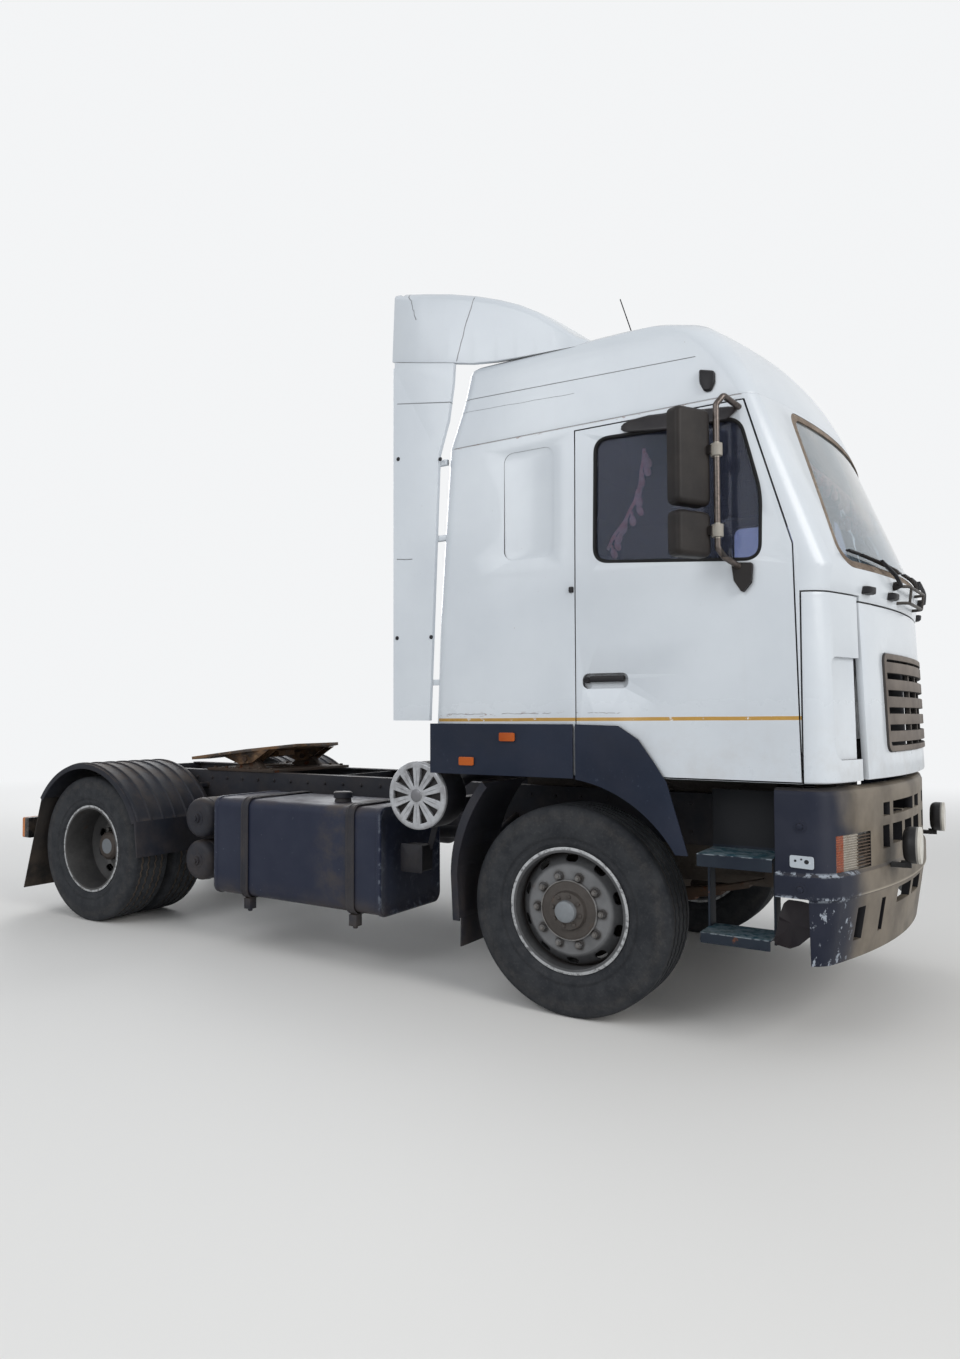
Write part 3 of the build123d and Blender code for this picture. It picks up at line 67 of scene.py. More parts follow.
def stand(name, data, place, ahead):
    """Put a camera or a lamp at a place, turned to look ahead with its top up."""
    made = bpy.data.objects.new(name, data)
    made.location = place
    made.rotation_mode = "QUATERNION"
    made.rotation_quaternion = Vector(ahead).to_track_quat("-Z", "Y")
    bpy.context.scene.collection.objects.link(made)
    return made


camera = stand("camera", bpy.data.cameras.new("camera"), EYE,
               (cos(LOOK_YAW) * cos(LOOK_PITCH), sin(LOOK_YAW) * cos(LOOK_PITCH), sin(LOOK_PITCH)))
camera.data.sensor_width = FILM
camera.data.lens = FILM * LENS_PIXELS / PICTURE_HIGH
camera.data.shift_x = (PICTURE_WIDE / 2 - AXIS_ACROSS) / PICTURE_HIGH
camera.data.shift_y = (AXIS_DOWN - PICTURE_HIGH / 2) / PICTURE_HIGH
camera.data.clip_end = FAR_CLIP
bpy.context.scene.camera = camera
bpy.context.scene.view_settings.view_transform = "Standard"


def lamp(name, place, aim, size, watts, tint):
    """A square soft box at a place, turned to face the aim."""
    light = bpy.data.lights.new(name, "AREA")
    light.shape = "SQUARE"
    light.size = size
    light.energy = watts
    light.color = tint
    stand(name, light, place, Vector(aim) - Vector(place))


lamp("front_box", (11.5, -4.0, 6.5), (0.5, 0, 1.6), 6.0, 650, (1.0, 0.985, 0.96))
lamp("side_box", (-1.5, -12.0, 7.5), (0, 0, 1.2), 7.0, 420, (0.96, 0.98, 1.0))
lamp("rear_box", (-9.5, 8.0, 7.0), (0, 0, 1.2), 7.0, 560, (0.98, 0.99, 1.0))


class Field:
    """What a node gives out, varying from place to place; each sum on it adds a node to its tree."""

    def __init__(self, socket):
        self.socket = socket

    def math(self, operation, other=0.0):
        return add_node(self.socket.id_data, "ShaderNodeMath", {0: self, 1: other}, operation=operation)

    def __add__(self, other):
        return self.math("ADD", other)

    def __sub__(self, other):
        return self.math("SUBTRACT", other)

    def __mul__(self, other):
        return self.math("MULTIPLY", other)

    def __or__(self, other):
        """The larger of two fields."""
        return self.math("MAXIMUM", other)

    def __abs__(self):
        return self.math("ABSOLUTE")

    def rest(self):
        """What is left of 1."""
        return add_node(self.socket.id_data, "ShaderNodeMath", {0: 1.0, 1: self}, operation="SUBTRACT")

    def sine(self, times):
        return (self * times).math("SINE")

    def reach(self, other):
        """Length of the slope whose two square sides are this field and the other."""
        return (self * self + other * other).math("SQRT")

    def band(self, low, high):
        """0 below low, 1 above high, a smooth rise between; the other way round if low is the larger."""
        limits = {"Value": self, "From Min": low, "From Max": high}
        return add_node(self.socket.id_data, "ShaderNodeMapRange", limits,
                        interpolation_type="SMOOTHSTEP")

    def near(self, middle, reach):
        """1 at the middle value, fading to 0 at the reach on either side."""
        return abs(self - middle).band(reach, 0.0)


def feed(socket, value):
    """Link a node's input to a field, or write a fixed value into it; a colour is opaque."""
    if isinstance(value, Field):
        socket.id_data.links.new(value.socket, socket)
    else:
        socket.default_value = (*value, 1) if socket.type == "RGBA" else value


def add_node(tree, kind, inputs=(), out=0, **settings):
    """Add a node with its settings and inputs, and give back one of its outputs as a field."""
    made = tree.nodes.new(kind)
    for key, value in settings.items():
        setattr(made, key, value)
    for key, value in dict(inputs).items():
        feed(made.inputs[key], value)
    return Field(made.outputs[out])


class Finish:
    """One material, laid up in layers over the piece's own Object coordinates, in metres."""

    def __init__(self, name):
        self.material = bpy.data.materials.new(name)
        self.material.use_nodes = True
        self.tree = self.material.node_tree
        self.shader = self.tree.nodes["Principled BSDF"]
        where = self.tree.nodes.new("ShaderNodeTexCoord").outputs
        self.place, self.facing = Field(where["Object"]), Field(where["Normal"])
        self.x, self.y, self.z = (self.add("SeparateXYZ", {0: self.place}, axis) for axis in "XYZ")
        self.colour = self.relief = None

    def add(self, kind, inputs=(), out=0, **settings):
        """Add a shader node."""
        return add_node(self.tree, "ShaderNode" + kind, inputs, out, **settings)

    def noise(self, scale, detail=5.0, rough=0.55, stretch=(1, 1, 1), shift=0.0):
        """Cloudy field from 0 to 1, about 1 / scale metres across, stretched along the axes if asked."""
        where = self.place
        if stretch != (1, 1, 1) or shift:
            where = self.add("Mapping", {0: where, "Scale": stretch, "Location": (shift, shift, shift)})
        return self.add("TexNoise", {"Vector": where, "Scale": scale, "Detail": detail, "Roughness": rough})

    def cells(self, scale, feature):
        """Distance field of scattered points, for cracks and cast grain."""
        return self.add("TexVoronoi", {"Vector": self.place, "Scale": scale}, feature=feature)

    def ahead(self):
        """How far a face looks forward, from -1 to 1."""
        return self.add("SeparateXYZ", {0: self.facing}, "X")

    def up(self):
        """1 on faces that look up, 0 on those that look aside or down."""
        return self.add("SeparateXYZ", {0: self.facing}, "Z").band(0.35, 0.9)

    def about(self, x, z):
        """Distance from an axle along Y at the given place, and the turn about it."""
        a, b = self.x - x, self.z - z
        return a.reach(b), b.math("ARCTAN2", a)

    def corners(self, reach):
        """1 deep in corners and seams, 0 in the open, from how much is close by within the reach."""
        return self.add("AmbientOcclusion", {"Distance": reach}, "AO", samples=4).band(0.75, 0.35)

    def mix(self, share, a, b):
        """Colour a turning into colour b."""
        return self.add("Mix", {0: share, 6: a, 7: b}, 2, data_type="RGBA")

    def mottled(self, a, b, scale, detail, low=0.3, high=0.7, **more):
        """Colour a turning into colour b in clouds."""
        return self.mix(self.noise(scale, detail, **more).band(low, high), a, b)

    def lay(self, share, tint):
        """A further layer of colour over what is there, where its share says."""
        self.colour = self.mix(share, self.colour, tint)

    def blend(self, share, a, b):
        """Number a turning into number b."""
        return self.add("Mix", {0: share, 2: a, 3: b})

    def emboss(self, height, depth, strength=1.0):
        """Add relief of the given depth in metres."""
        inputs = {"Height": height, "Distance": depth, "Strength": strength}
        if self.relief:
            inputs["Normal"] = self.relief
        self.relief = self.add("Bump", inputs)

    def done(self, rough, **sockets):
        """Join the layers to the shader; other inputs come by name, spaces as underscores."""
        sockets |= {"base_color": self.colour, "roughness": rough}
        if self.relief:
            sockets["normal"] = self.relief
        for key, value in sockets.items():
            feed(self.shader.inputs[key.replace("_", " ").title().replace("Ior", "IOR")], value)
        return self.material


def show(tree, output, share, near, far):
    """Send two shaders to the tree's output, the near one turning into the far one by a share."""
    mixed = add_node(tree, "ShaderNodeMixShader", {0: share, 1: near, 2: far})
    feed(tree.nodes[output].inputs["Surface"], mixed)


world = bpy.data.worlds.new("room")
world.use_nodes = True
bpy.context.scene.world = world
room = world.node_tree
rays = room.nodes.new("ShaderNodeLightPath").outputs
seen = reduce(Field.__or__, [Field(rays[f"Is {kind} Ray"]) for kind in ("Camera", "Glossy", "Transmission")])
sky = room.nodes["Background"]
feed(sky.inputs["Color"], SKY_LIGHT)
feed(sky.inputs["Strength"], SKY_STRENGTH)
backdrop = add_node(room, "ShaderNodeBackground", {"Color": ROOM_GREY, "Strength": 1.0})
show(room, "World Output", seen, Field(sky.outputs[0]), backdrop)

floor_mesh = bpy.data.meshes.new("floor")
corners = [(a * FLOOR_REACH, b * FLOOR_REACH, 0) for a, b in ((-1, -1), (1, -1), (1, 1), (-1, 1))]
floor_mesh.from_pydata(corners, [], [(0, 1, 2, 3)])
floor = bpy.data.objects.new("floor", floor_mesh)
ground = Finish("studio_floor")
ground.colour = FLOOR_GREY
floor_mesh.materials.append(ground.done(0.9))
# the floor turns into the room's own colour far away, so no horizon line shows
away = ground.add("VectorMath", {0: ground.place}, "Value", operation="LENGTH").band(FADE_FROM, FADE_TO)
show(ground.tree, "Material Output", away * ground.add("LightPath", out="Is Camera Ray"),
     Field(ground.shader.outputs[0]), ground.add("Emission", {"Color": ROOM_GREY}))
bpy.context.scene.collection.objects.link(floor)

# Chassis frame: two rolled steel channels with crossmembers riveted between their webs, sprayed with
# dark blue-black paint that road dust and surface rust have dulled. Bolt heads show along both webs.
DUST = (0.17, 0.125, 0.088)
RUST = (0.16, 0.052, 0.02)
DARK_RUST = (0.06, 0.024, 0.013)
RAIL_FACE = 0.4305
RAIL_TOP = 1.040
BOLT_PITCH = 0.155
BOLT_RADIUS = 0.011
BOLT_HEIGHT = 0.010
SHARP = radians(32)
WELD_REACH = 0.00005


def weathered(name, paint, worn, rough=0.5, dust=0.35, rust=0.0, grain=90.0, depth=0.0005, metallic=0.0,
              clean_above=1.3, cast=False, chips=0.25, gloss=0.2):
    """Paint between two shades, dust on ledges, low down and in corners, rust patches, pale chips, relief."""
    f = Finish(name)
    fine = f.noise(grain, 4.0)
    f.colour = f.mottled(paint, worn, 2.4, 7.0)
    scuffed = f.noise(46.0, 7.0, 0.7, shift=3.1).band(0.60, 0.66)
    scuffed *= f.noise(3.1, 3.0, shift=1.3).band(0.45, 0.7)
    f.lay(scuffed * chips, [min(1, c * 2.2 + 0.03) for c in worn])
    lying = f.up() * 0.9 | f.blend(f.z.band(clean_above, 0.1), 0.12, 0.55)
    settled = f.noise(5.5, 8.0, 0.65, shift=7.7).band(0.34, 0.72) * lying
    dirt = (settled | f.corners(0.07) * 0.7) * dust
    f.lay(dirt, DUST)
    patch = f.noise(7.0, 10.0, 0.68, shift=12.3)
    rusted = patch.band(0.71 - 0.22 * rust, 0.75 - 0.20 * rust)
    f.lay(rusted * min(1.0, 4 * rust), f.mix(fine.band(0.35, 0.65), DARK_RUST, RUST))
    f.emboss(fine, depth)
    if cast:
        f.emboss(f.cells(grain * 1.5, "SMOOTH_F1"), depth * 2)
    f.emboss(patch, depth * 2.5, 0.6)
    return f.done(f.blend(dirt | rusted, rough, 0.93), metallic=metallic, specular_ior_level=gloss)


rounding = bpy.data.node_groups.new("smooth_faces", "GeometryNodeTree")
for way in ("INPUT", "OUTPUT"):
    rounding.interface.new_socket("Geometry", in_out=way, socket_type="NodeSocketGeometry")
shape = add_node(rounding, "NodeGroupInput")
shape = add_node(rounding, "GeometryNodeMergeByDistance", {0: shape, "Distance": WELD_REACH})
shape = add_node(rounding, "GeometryNodeSetShadeSmooth", {0: shape})
bend = add_node(rounding, "GeometryNodeInputMeshEdgeAngle", out="Unsigned Angle")
gentle = add_node(rounding, "FunctionNodeCompare", {0: bend, 1: SHARP}, data_type="FLOAT",
                  operation="LESS_EQUAL")
shape = add_node(rounding, "GeometryNodeSetShadeSmooth", {0: shape, "Shade Smooth": gentle}, domain="EDGE")
feed(rounding.nodes.new("NodeGroupOutput").inputs[0], shape)


def dress(finish, *names, edge=0.0):
    """Give CAD nodes their finish and smooth shading between creases, with a small rounded edge if asked."""
    for name in names:
        node = nodes[name]
        node.data.materials.clear()
        node.data.materials.append(finish)
        if edge:
            node.modifiers.new("weld", "WELD").merge_threshold = WELD_REACH
            bevel = node.modifiers.new("edge", "BEVEL")
            bevel.width = edge
            bevel.segments = 2
            bevel.limit_method = "ANGLE"
            bevel.angle_limit = SHARP
        node.modifiers.new("smooth", "NODES").node_group = rounding


def sheet_of(points, wrap_rows=False, wrap_columns=False):
    """Grid of points (rows, columns, 3) as a flat list and the quads between neighbours, closed if asked."""
    rows, columns = points.shape[:2]
    i, j = np.meshgrid(np.arange(rows - (not wrap_rows)), np.arange(columns - (not wrap_columns)),
                       indexing="ij")
    down, across = (i + 1) % rows, (j + 1) % columns
    quads = np.stack([i * columns + j, i * columns + across, down * columns + across, down * columns + j], -1)
    return points.reshape(-1, 3), quads.reshape(-1, 4)


def piece(name, shapes, finish, body, stands_for=(), sharp=SHARP, wall=0.0):
    """Join shapes into one mesh, merge doubles, turn faces outwards, and let it ride on its body."""
    points, faces, start = [], [], 0
    for shape_points, shape_faces in shapes:
        points.append(shape_points)
        faces.append(shape_faces + start)
        start += len(shape_points)
    mesh = bpy.data.meshes.new(name)
    mesh.from_pydata(np.concatenate(points).tolist(), [], np.concatenate(faces).tolist())
    made = bmesh.new()
    made.from_mesh(mesh)
    bmesh.ops.remove_doubles(made, verts=made.verts, dist=0.00002)
    bmesh.ops.dissolve_degenerate(made, edges=made.edges, dist=0.00001)
    bmesh.ops.recalc_face_normals(made, faces=made.faces)
    made.to_mesh(mesh)
    made.free()
    mesh.materials.append(finish)
    mesh.shade_smooth()
    mesh.set_sharp_from_angle(angle=sharp)
    made = bpy.data.objects.new(name, mesh)
    bpy.context.scene.collection.objects.link(made)
    if wall:
        thick = made.modifiers.new("wall", "SOLIDIFY")
        thick.thickness = wall
        thick.offset = -1
    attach(made, body)
    if stands_for:
        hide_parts(*stands_for)
    return made


def turned(profile, centre, axis, steps=48, closed=False):
    """Profile of (along, radius) turned about an axis through the centre: one ring for each of its points."""
    profile = np.asarray(profile, float)
    axis = np.asarray(axis, float) / np.linalg.norm(axis)
    aside = np.cross(axis, (0, 0, 1.0) if abs(axis[2]) < 0.9 else (1.0, 0, 0))
    aside /= np.linalg.norm(aside)
    other = np.cross(axis, aside)
    turn = np.linspace(0, 2 * pi, steps, endpoint=False)
    ring = np.cos(turn)[:, None] * aside + np.sin(turn)[:, None] * other
    points = np.asarray(centre) + profile[:, None, :1] * axis + profile[:, None, 1:] * ring[None]
    return sheet_of(points, wrap_rows=closed, wrap_columns=True)


def bolts(places, axis, radius=BOLT_RADIUS, height=BOLT_HEIGHT):
    """Hexagon heads with a domed top, as one shape: six-sided rings stepped up the axis at every place."""
    profile = [(0, radius), (height * 0.8, radius), (height, radius * 0.75), (height, 0)]
    points, faces = turned(profile, (0, 0, 0), axis, steps=6)
    copies = np.asarray(places, float)[:, None] + points[None]
    offsets = np.arange(len(places))[:, None, None] * len(points)
    return copies.reshape(-1, 3), (faces[None] + offsets).reshape(-1, 4)


frame_paint = weathered("frame_paint", (0.013, 0.015, 0.022), (0.030, 0.031, 0.038), rough=0.55, dust=0.5,
                        rust=0.16)
dress(frame_paint, "frame_rails", "reservoir_hangers", edge=0.0015)
rail_low, rail_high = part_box("frame_rails")
bolt_x = np.arange(rail_low.x + 0.12, rail_high.x - 0.3, BOLT_PITCH)
piece("rail_bolts", [bolts([(x, side * RAIL_FACE, z) for x in bolt_x for z in (0.832, 0.985)], (0, side, 0))
                     for side in (-1, 1)], frame_paint, "chassis")

# Axles and springs: forged front beam and cast rear housing on stacked leaves, greasy and rusted.
# Spring U-bolts clamp each stack; the steering knuckles carry the front wheels on their spindles.
IRON = (0.048, 0.042, 0.038)
IRON_WORN = (0.085, 0.075, 0.066)
axle_iron = weathered("axle_iron", IRON, IRON_WORN, rough=0.7, dust=0.55, rust=0.35, depth=0.0009, cast=True)
spring_steel = weathered("spring_steel", IRON, (0.070, 0.040, 0.026), rough=0.72, dust=0.5, rust=0.5)
dress(axle_iron, "front_axle", "rear_axle", "knuckle_right", "knuckle_left", edge=0.003)
dress(spring_steel, "front_springs", "rear_springs", edge=0.0015)

# Driveline: one cast engine and gearbox block, a finned radiator and the tube that turns the rear axle.
# The castings are plain iron under oily dust; the tube is sprayed with the frame.
engine_iron = weathered("engine_iron", IRON, IRON_WORN, rough=0.65, dust=0.5, rust=0.2, depth=0.0012,
                        cast=True)
dress(engine_iron, "engine_block", edge=0.006)
dress(frame_paint, "propeller_shaft")
RADIATOR_FINS = 420.0
core = Finish("radiator_fins")
core.emboss(core.z.sine(RADIATOR_FINS), 0.002)
core.colour = core.mix(core.noise(9.0).band(0.4, 0.75) * 0.7, (0.03, 0.03, 0.032), DUST)
dress(core.done(0.55, metallic=0.3), "radiator", edge=0.004)

# Fuel tank: pressed steel box with rounded corners and rolled end seams, dusty dark blue paint, held by
# two grooved steel straps with rubber under them.
TANK_CORNER = 0.062
TANK_SEAM = 0.007
# distance in from each end, and how far the section draws in there
TANK_END = [(0.016, 0.290), (0.014, 0.180), (0.016, 0.100), (0.012, 0.040), (0.003, 0.022), (0.000, 0.012),
            (0.004, 0.002), (0.012, 0.000), (0.026, 0.001), (0.030, 0.006), (0.036, 0.007)]
STRAP_X = (-0.670, 0.150)
STRAP_RIDGES = (-0.018, 0.018)
RIDGE_HALF = 0.006
RIDGE_HEIGHT = 0.0035
CAP_AT = (-0.075, -0.930, 0.934)
STRAP_NUT_Y, STRAP_NUT_Z = -1.102, 0.2525
# shallow dents, x, z, reach and depth: the outer side moves in by a bell curve of the distance
DENTS = [(-0.45, 0.60, 0.16, 0.006), (0.02, 0.48, 0.12, 0.005), (-0.78, 0.72, 0.10, 0.004),
         (0.25, 0.78, 0.09, 0.004)]


def rounded_box_line(half_a, half_b, corner, steps=9):
    """Closed outline of a rectangle with round corners: quarter circles joined by straight sides."""
    turn = np.linspace(0, pi / 2, steps)
    corner = max(min(corner, half_a, half_b), 0.0005)
    lines = []
    for k, (a, b) in enumerate(((1, 1), (-1, 1), (-1, -1), (1, -1))):
        angle = turn + k * pi / 2
        lines.append(np.stack([a * (half_a - corner) + corner * np.cos(angle),
                               b * (half_b - corner) + corner * np.sin(angle)], -1))
    return np.concatenate(lines)


def box_skin(middle, half, corner, axis, stations, steps=9, follow=0):
    """Round-cornered outlines stacked along an axis, each a place and how far it draws in, both ends closed
    on their middle; with follow 1 the corners tighten as the outline draws in."""
    lines = [rounded_box_line(half[0] - draw, half[1] - draw, max(corner - follow * draw, 0.002), steps)
             for _, draw in stations]
    lines = [lines[0] * 0, *lines, lines[0] * 0]
    places = [stations[0][0], *[along for along, _ in stations], stations[-1][0]]
    return np.array([np.insert(line + middle, axis, along, 1) for line, along in zip(lines, places)])


tank_low, tank_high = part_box("fuel_tank")
tank_mid = (tank_low + tank_high) / 2
half_wide, half_high = (tank_high.y - tank_low.y) / 2, (tank_high.z - tank_low.z) / 2
stations = [(tank_low.x + inward, draw) for inward, draw in TANK_END]
stations += [(x, TANK_SEAM) for x in np.linspace(tank_low.x + 0.05, tank_high.x - 0.05, 40)]
stations += [(tank_high.x - inward, draw) for inward, draw in TANK_END[::-1]]
tank_skin = box_skin((tank_mid.y, tank_mid.z), (half_wide, half_high), TANK_CORNER, 0, stations, follow=1)
for x, z, reach, depth in DENTS:
    away = np.hypot(tank_skin[..., 0] - x, tank_skin[..., 2] - z)
    outer_side = tank_skin[..., 1] < tank_mid.y - half_wide + 0.03
    tank_skin[..., 1] += np.where(outer_side, depth * np.exp(-(away / reach) ** 2 * 2), 0)
tank = Finish("tank_paint")
stain = tank.noise(3.2, 9.0, 0.68)
tank.colour = tank.mottled((0.011, 0.015, 0.034), (0.022, 0.027, 0.048), 2.0, 6.0)
front_stain = tank.x.near(0.050, 0.260) * stain.band(0.42, 0.66)
low_stain = tank.z.band(0.46, 0.33) * stain.band(0.30, 0.70)
tank.lay((front_stain | low_stain) * 0.75, (0.072, 0.060, 0.052))
dusty_top = tank.up() * stain.band(0.36, 0.75)
tank.lay(dusty_top * 0.22, DUST)
tank.lay(tank.noise(40.0, 8.0, 0.72, shift=3.0).band(0.65, 0.68) * 0.55, (0.13, 0.14, 0.17))
seam_rub = tank.x.near(-0.935, 0.014) | tank.x.near(0.355, 0.014)
tank.lay(seam_rub * tank.noise(24.0, 8.0, 0.7).band(0.50, 0.66) * 0.7, (0.15, 0.17, 0.21))
tank.emboss(tank.noise(160.0, 4.0), 0.0003)
tank.emboss(stain, 0.002, 0.5)
tank_paint = tank.done(tank.blend(front_stain | dusty_top, 0.42, 0.75), specular_ior_level=0.22)
piece("fuel_tank_shell", [sheet_of(tank_skin, wrap_columns=True)], tank_paint, "chassis",
      ["fuel_tank"])
strap_steel = weathered("strap_steel", (0.016, 0.018, 0.026), (0.034, 0.035, 0.042), dust=0.4, rust=0.16)
dress(strap_steel, "tank_straps", edge=0.0015)
ridges = []
hoop = rounded_box_line(half_wide + 0.005, half_high + 0.005, TANK_CORNER + 0.005, steps=12)
for x in [x + shift for x in STRAP_X for shift in STRAP_RIDGES]:
    # half-round ridge carried round the tank: x across the strap, height outwards
    across = np.linspace(-1, 1, 7)
    raised = 1 + RIDGE_HEIGHT * np.sqrt(1 - across ** 2)[:, None] / np.hypot(hoop[:, 0], hoop[:, 1])[None]
    ridge = np.empty((7, len(hoop), 3))
    ridge[..., 0] = x + RIDGE_HALF * across[:, None]
    ridge[..., 1:] = (tank_mid.y, tank_mid.z) + hoop[None] * raised[..., None]
    ridges.append(sheet_of(ridge, wrap_columns=True))
piece("strap_ridges", ridges, strap_steel, "chassis")
# filler neck with its ribbed cap on top, and the nuts that tighten the straps underneath
cap = turned([(-0.004, 0.0), (-0.004, 0.052), (0.018, 0.048), (0.020, 0.058), (0.050, 0.058), (0.056, 0.050),
              (0.058, 0.0)], CAP_AT, (0, 0, 1), 36)
strap_nuts = bolts([(x, STRAP_NUT_Y, STRAP_NUT_Z) for x in STRAP_X], (0, 0, -1), 0.015, 0.016)
piece("tank_cap", [cap, strap_nuts], strap_steel, "chassis")

# Tyres: steel-belted rubber with a plain sidewall, shoulder ribs and zigzag grooves between the ribs.
# The rubber is dark grey with brown dust in the grooves and a paler band round the sidewall.
TYRE_RADIUS = 0.507
FRONT_TYRE_Y = 1.032
REAR_TYRE_Y = (1.042, 0.697)
FRONT_AXLE_X = 1.480
REAR_AXLE_X = -2.150
GROOVE_DEPTH = 0.011
ZIGZAGS = 60
SIDES = ((-1, "right"), (1, "left"))
# y, radius: the section from the bead to the shoulder, for one half of the tyre
SIDEWALL = [(0.118, 0.2915), (0.124, 0.297), (0.127, 0.304), (0.131, 0.309), (0.133, 0.311), (0.139, 0.322),
            (0.1415, 0.324), (0.142, 0.328), (0.148, 0.345), (0.154, 0.372), (0.1568, 0.398),
            (0.1562, 0.420), (0.153, 0.440), (0.1532, 0.4425), (0.1490, 0.4555), (0.1485, 0.458),
            (0.1462, 0.472), (0.1425, 0.486), (0.138, 0.4945), (0.130, 0.5025), (0.121, 0.5050)]
# middle, half width and zigzag of the two grooves in that half
GROOVES = [(0.084, 0.010, 0.0045), (0.030, 0.009, 0.0055)]


def tyre_section():
    """Full closed section as y, radius and zigzag: sidewall, ribs with grooves, and the same mirrored."""
    rows = [(y, r, 0.0) for y, r in SIDEWALL]
    crown = TYRE_RADIUS - 0.0008
    for middle, half, swing in GROOVES:
        rows += [(middle + half + 0.001, crown, swing), (middle + half - 0.002, crown - GROOVE_DEPTH, swing),
                 (middle - half + 0.002, crown - GROOVE_DEPTH, swing), (middle - half - 0.001, crown, swing),
                 (middle - half - 0.012, TYRE_RADIUS, swing * 0.6)]
    return np.array(rows + [(-y, r, swing) for y, r, swing in rows[::-1]])


def tyre(x, y, steps=240):
    """Section turned about the axle; groove edges swing in y by a triangle wave of the turn angle."""
    across, radius, swing = tyre_section().T
    turn = np.linspace(0, 2 * pi, steps, endpoint=False)[:, None]
    wave = 4 * np.abs((turn * ZIGZAGS / (2 * pi)) % 1 - 0.5) - 1
    return sheet_of(np.stack([x + radius * np.cos(turn), y + across + swing * wave,
                              TYRE_RADIUS + radius * np.sin(turn)], -1), wrap_rows=True, wrap_columns=True)


def tyre_rubber(name, axle_x, tread_middles):
    """Rubber about one axle: dust in the grooves and on the wall, chalky, finely ribbed round the wall."""
    f = Finish(name)
    radius, around = f.about(axle_x, TYRE_RADIUS)
    f.colour = f.mottled((0.015, 0.017, 0.021), (0.030, 0.032, 0.036), 14.0, 8.0)
    f.lay(radius.near(0.455, 0.045) * f.noise(22.0, 9.0, 0.7).band(0.35, 0.7) * 0.22, (0.105, 0.092, 0.080))
    groove = radius.band(TYRE_RADIUS - 0.004, TYRE_RADIUS - 0.010)
    tread = reduce(Field.__or__, [abs(abs(f.y) - middle).band(0.118, 0.112) for middle in tread_middles])
    f.lay(groove * tread * 0.45, DUST)
    f.lay(f.noise(70.0, 6.0).band(0.5, 0.75) * 0.20, (0.085, 0.082, 0.082))
    f.emboss(radius.sine(1900.0) * radius.near(0.350, 0.014), 0.0008)
    f.emboss(around.sine(260.0) * radius.near(0.437, 0.006), 0.0006)
    f.emboss(f.noise(160.0, 5.0), 0.0006)
    return f.done(0.80, specular_ior_level=0.3)


front_rubber = tyre_rubber("front_tyre_rubber", FRONT_AXLE_X, [FRONT_TYRE_Y])
rear_rubber = tyre_rubber("rear_tyre_rubber", REAR_AXLE_X, REAR_TYRE_Y)
for side, label in SIDES:
    piece(f"front_tyre_{label}", [tyre(FRONT_AXLE_X, side * FRONT_TYRE_Y)], front_rubber,
          f"front_wheel_{label}", [f"tyre_front_{label}"])
    piece(f"rear_tyres_{label}", [tyre(REAR_AXLE_X, side * y) for y in REAR_TYRE_Y], rear_rubber,
          f"rear_wheels_{label}", [f"tyres_rear_{label}"])

# Wheels: pressed steel discs with oval vents, sprayed grey over a bare scuffed bead edge, ten nuts on
# studs round a flanged hub with its own small bolts. Brake dust and grease darken the nuts; the well is
# darkened partly by grime and partly by painted shade, and the corners by painted shade.
NUTS = 10
NUT_CIRCLE = 0.167
HUB_EDGE = 0.142
STUD_RADIUS = 0.0095
HUB_BOLT_CIRCLE = 0.072
# how far out each fitting sits
WASHER_Y, STUD_Y, HUB_BOLT_Y, LIP_Y = 1.1435, 1.167, 1.1795, 1.1515
# (along, radius) profiles that stand out from the wheel's face
WASHER = [(0, 0.017), (0, 0.0235), (0.004, 0.0235), (0.006, 0.017)]
STUD = [(0, STUD_RADIUS), (0.011, STUD_RADIUS), (0.013, STUD_RADIUS * 0.7), (0.013, 0)]
HUB_LIP = [(0.0, -0.005), (0.004, -0.003), (0.005, 0.001), (0.003, 0.004), (0.0, 0.005)]


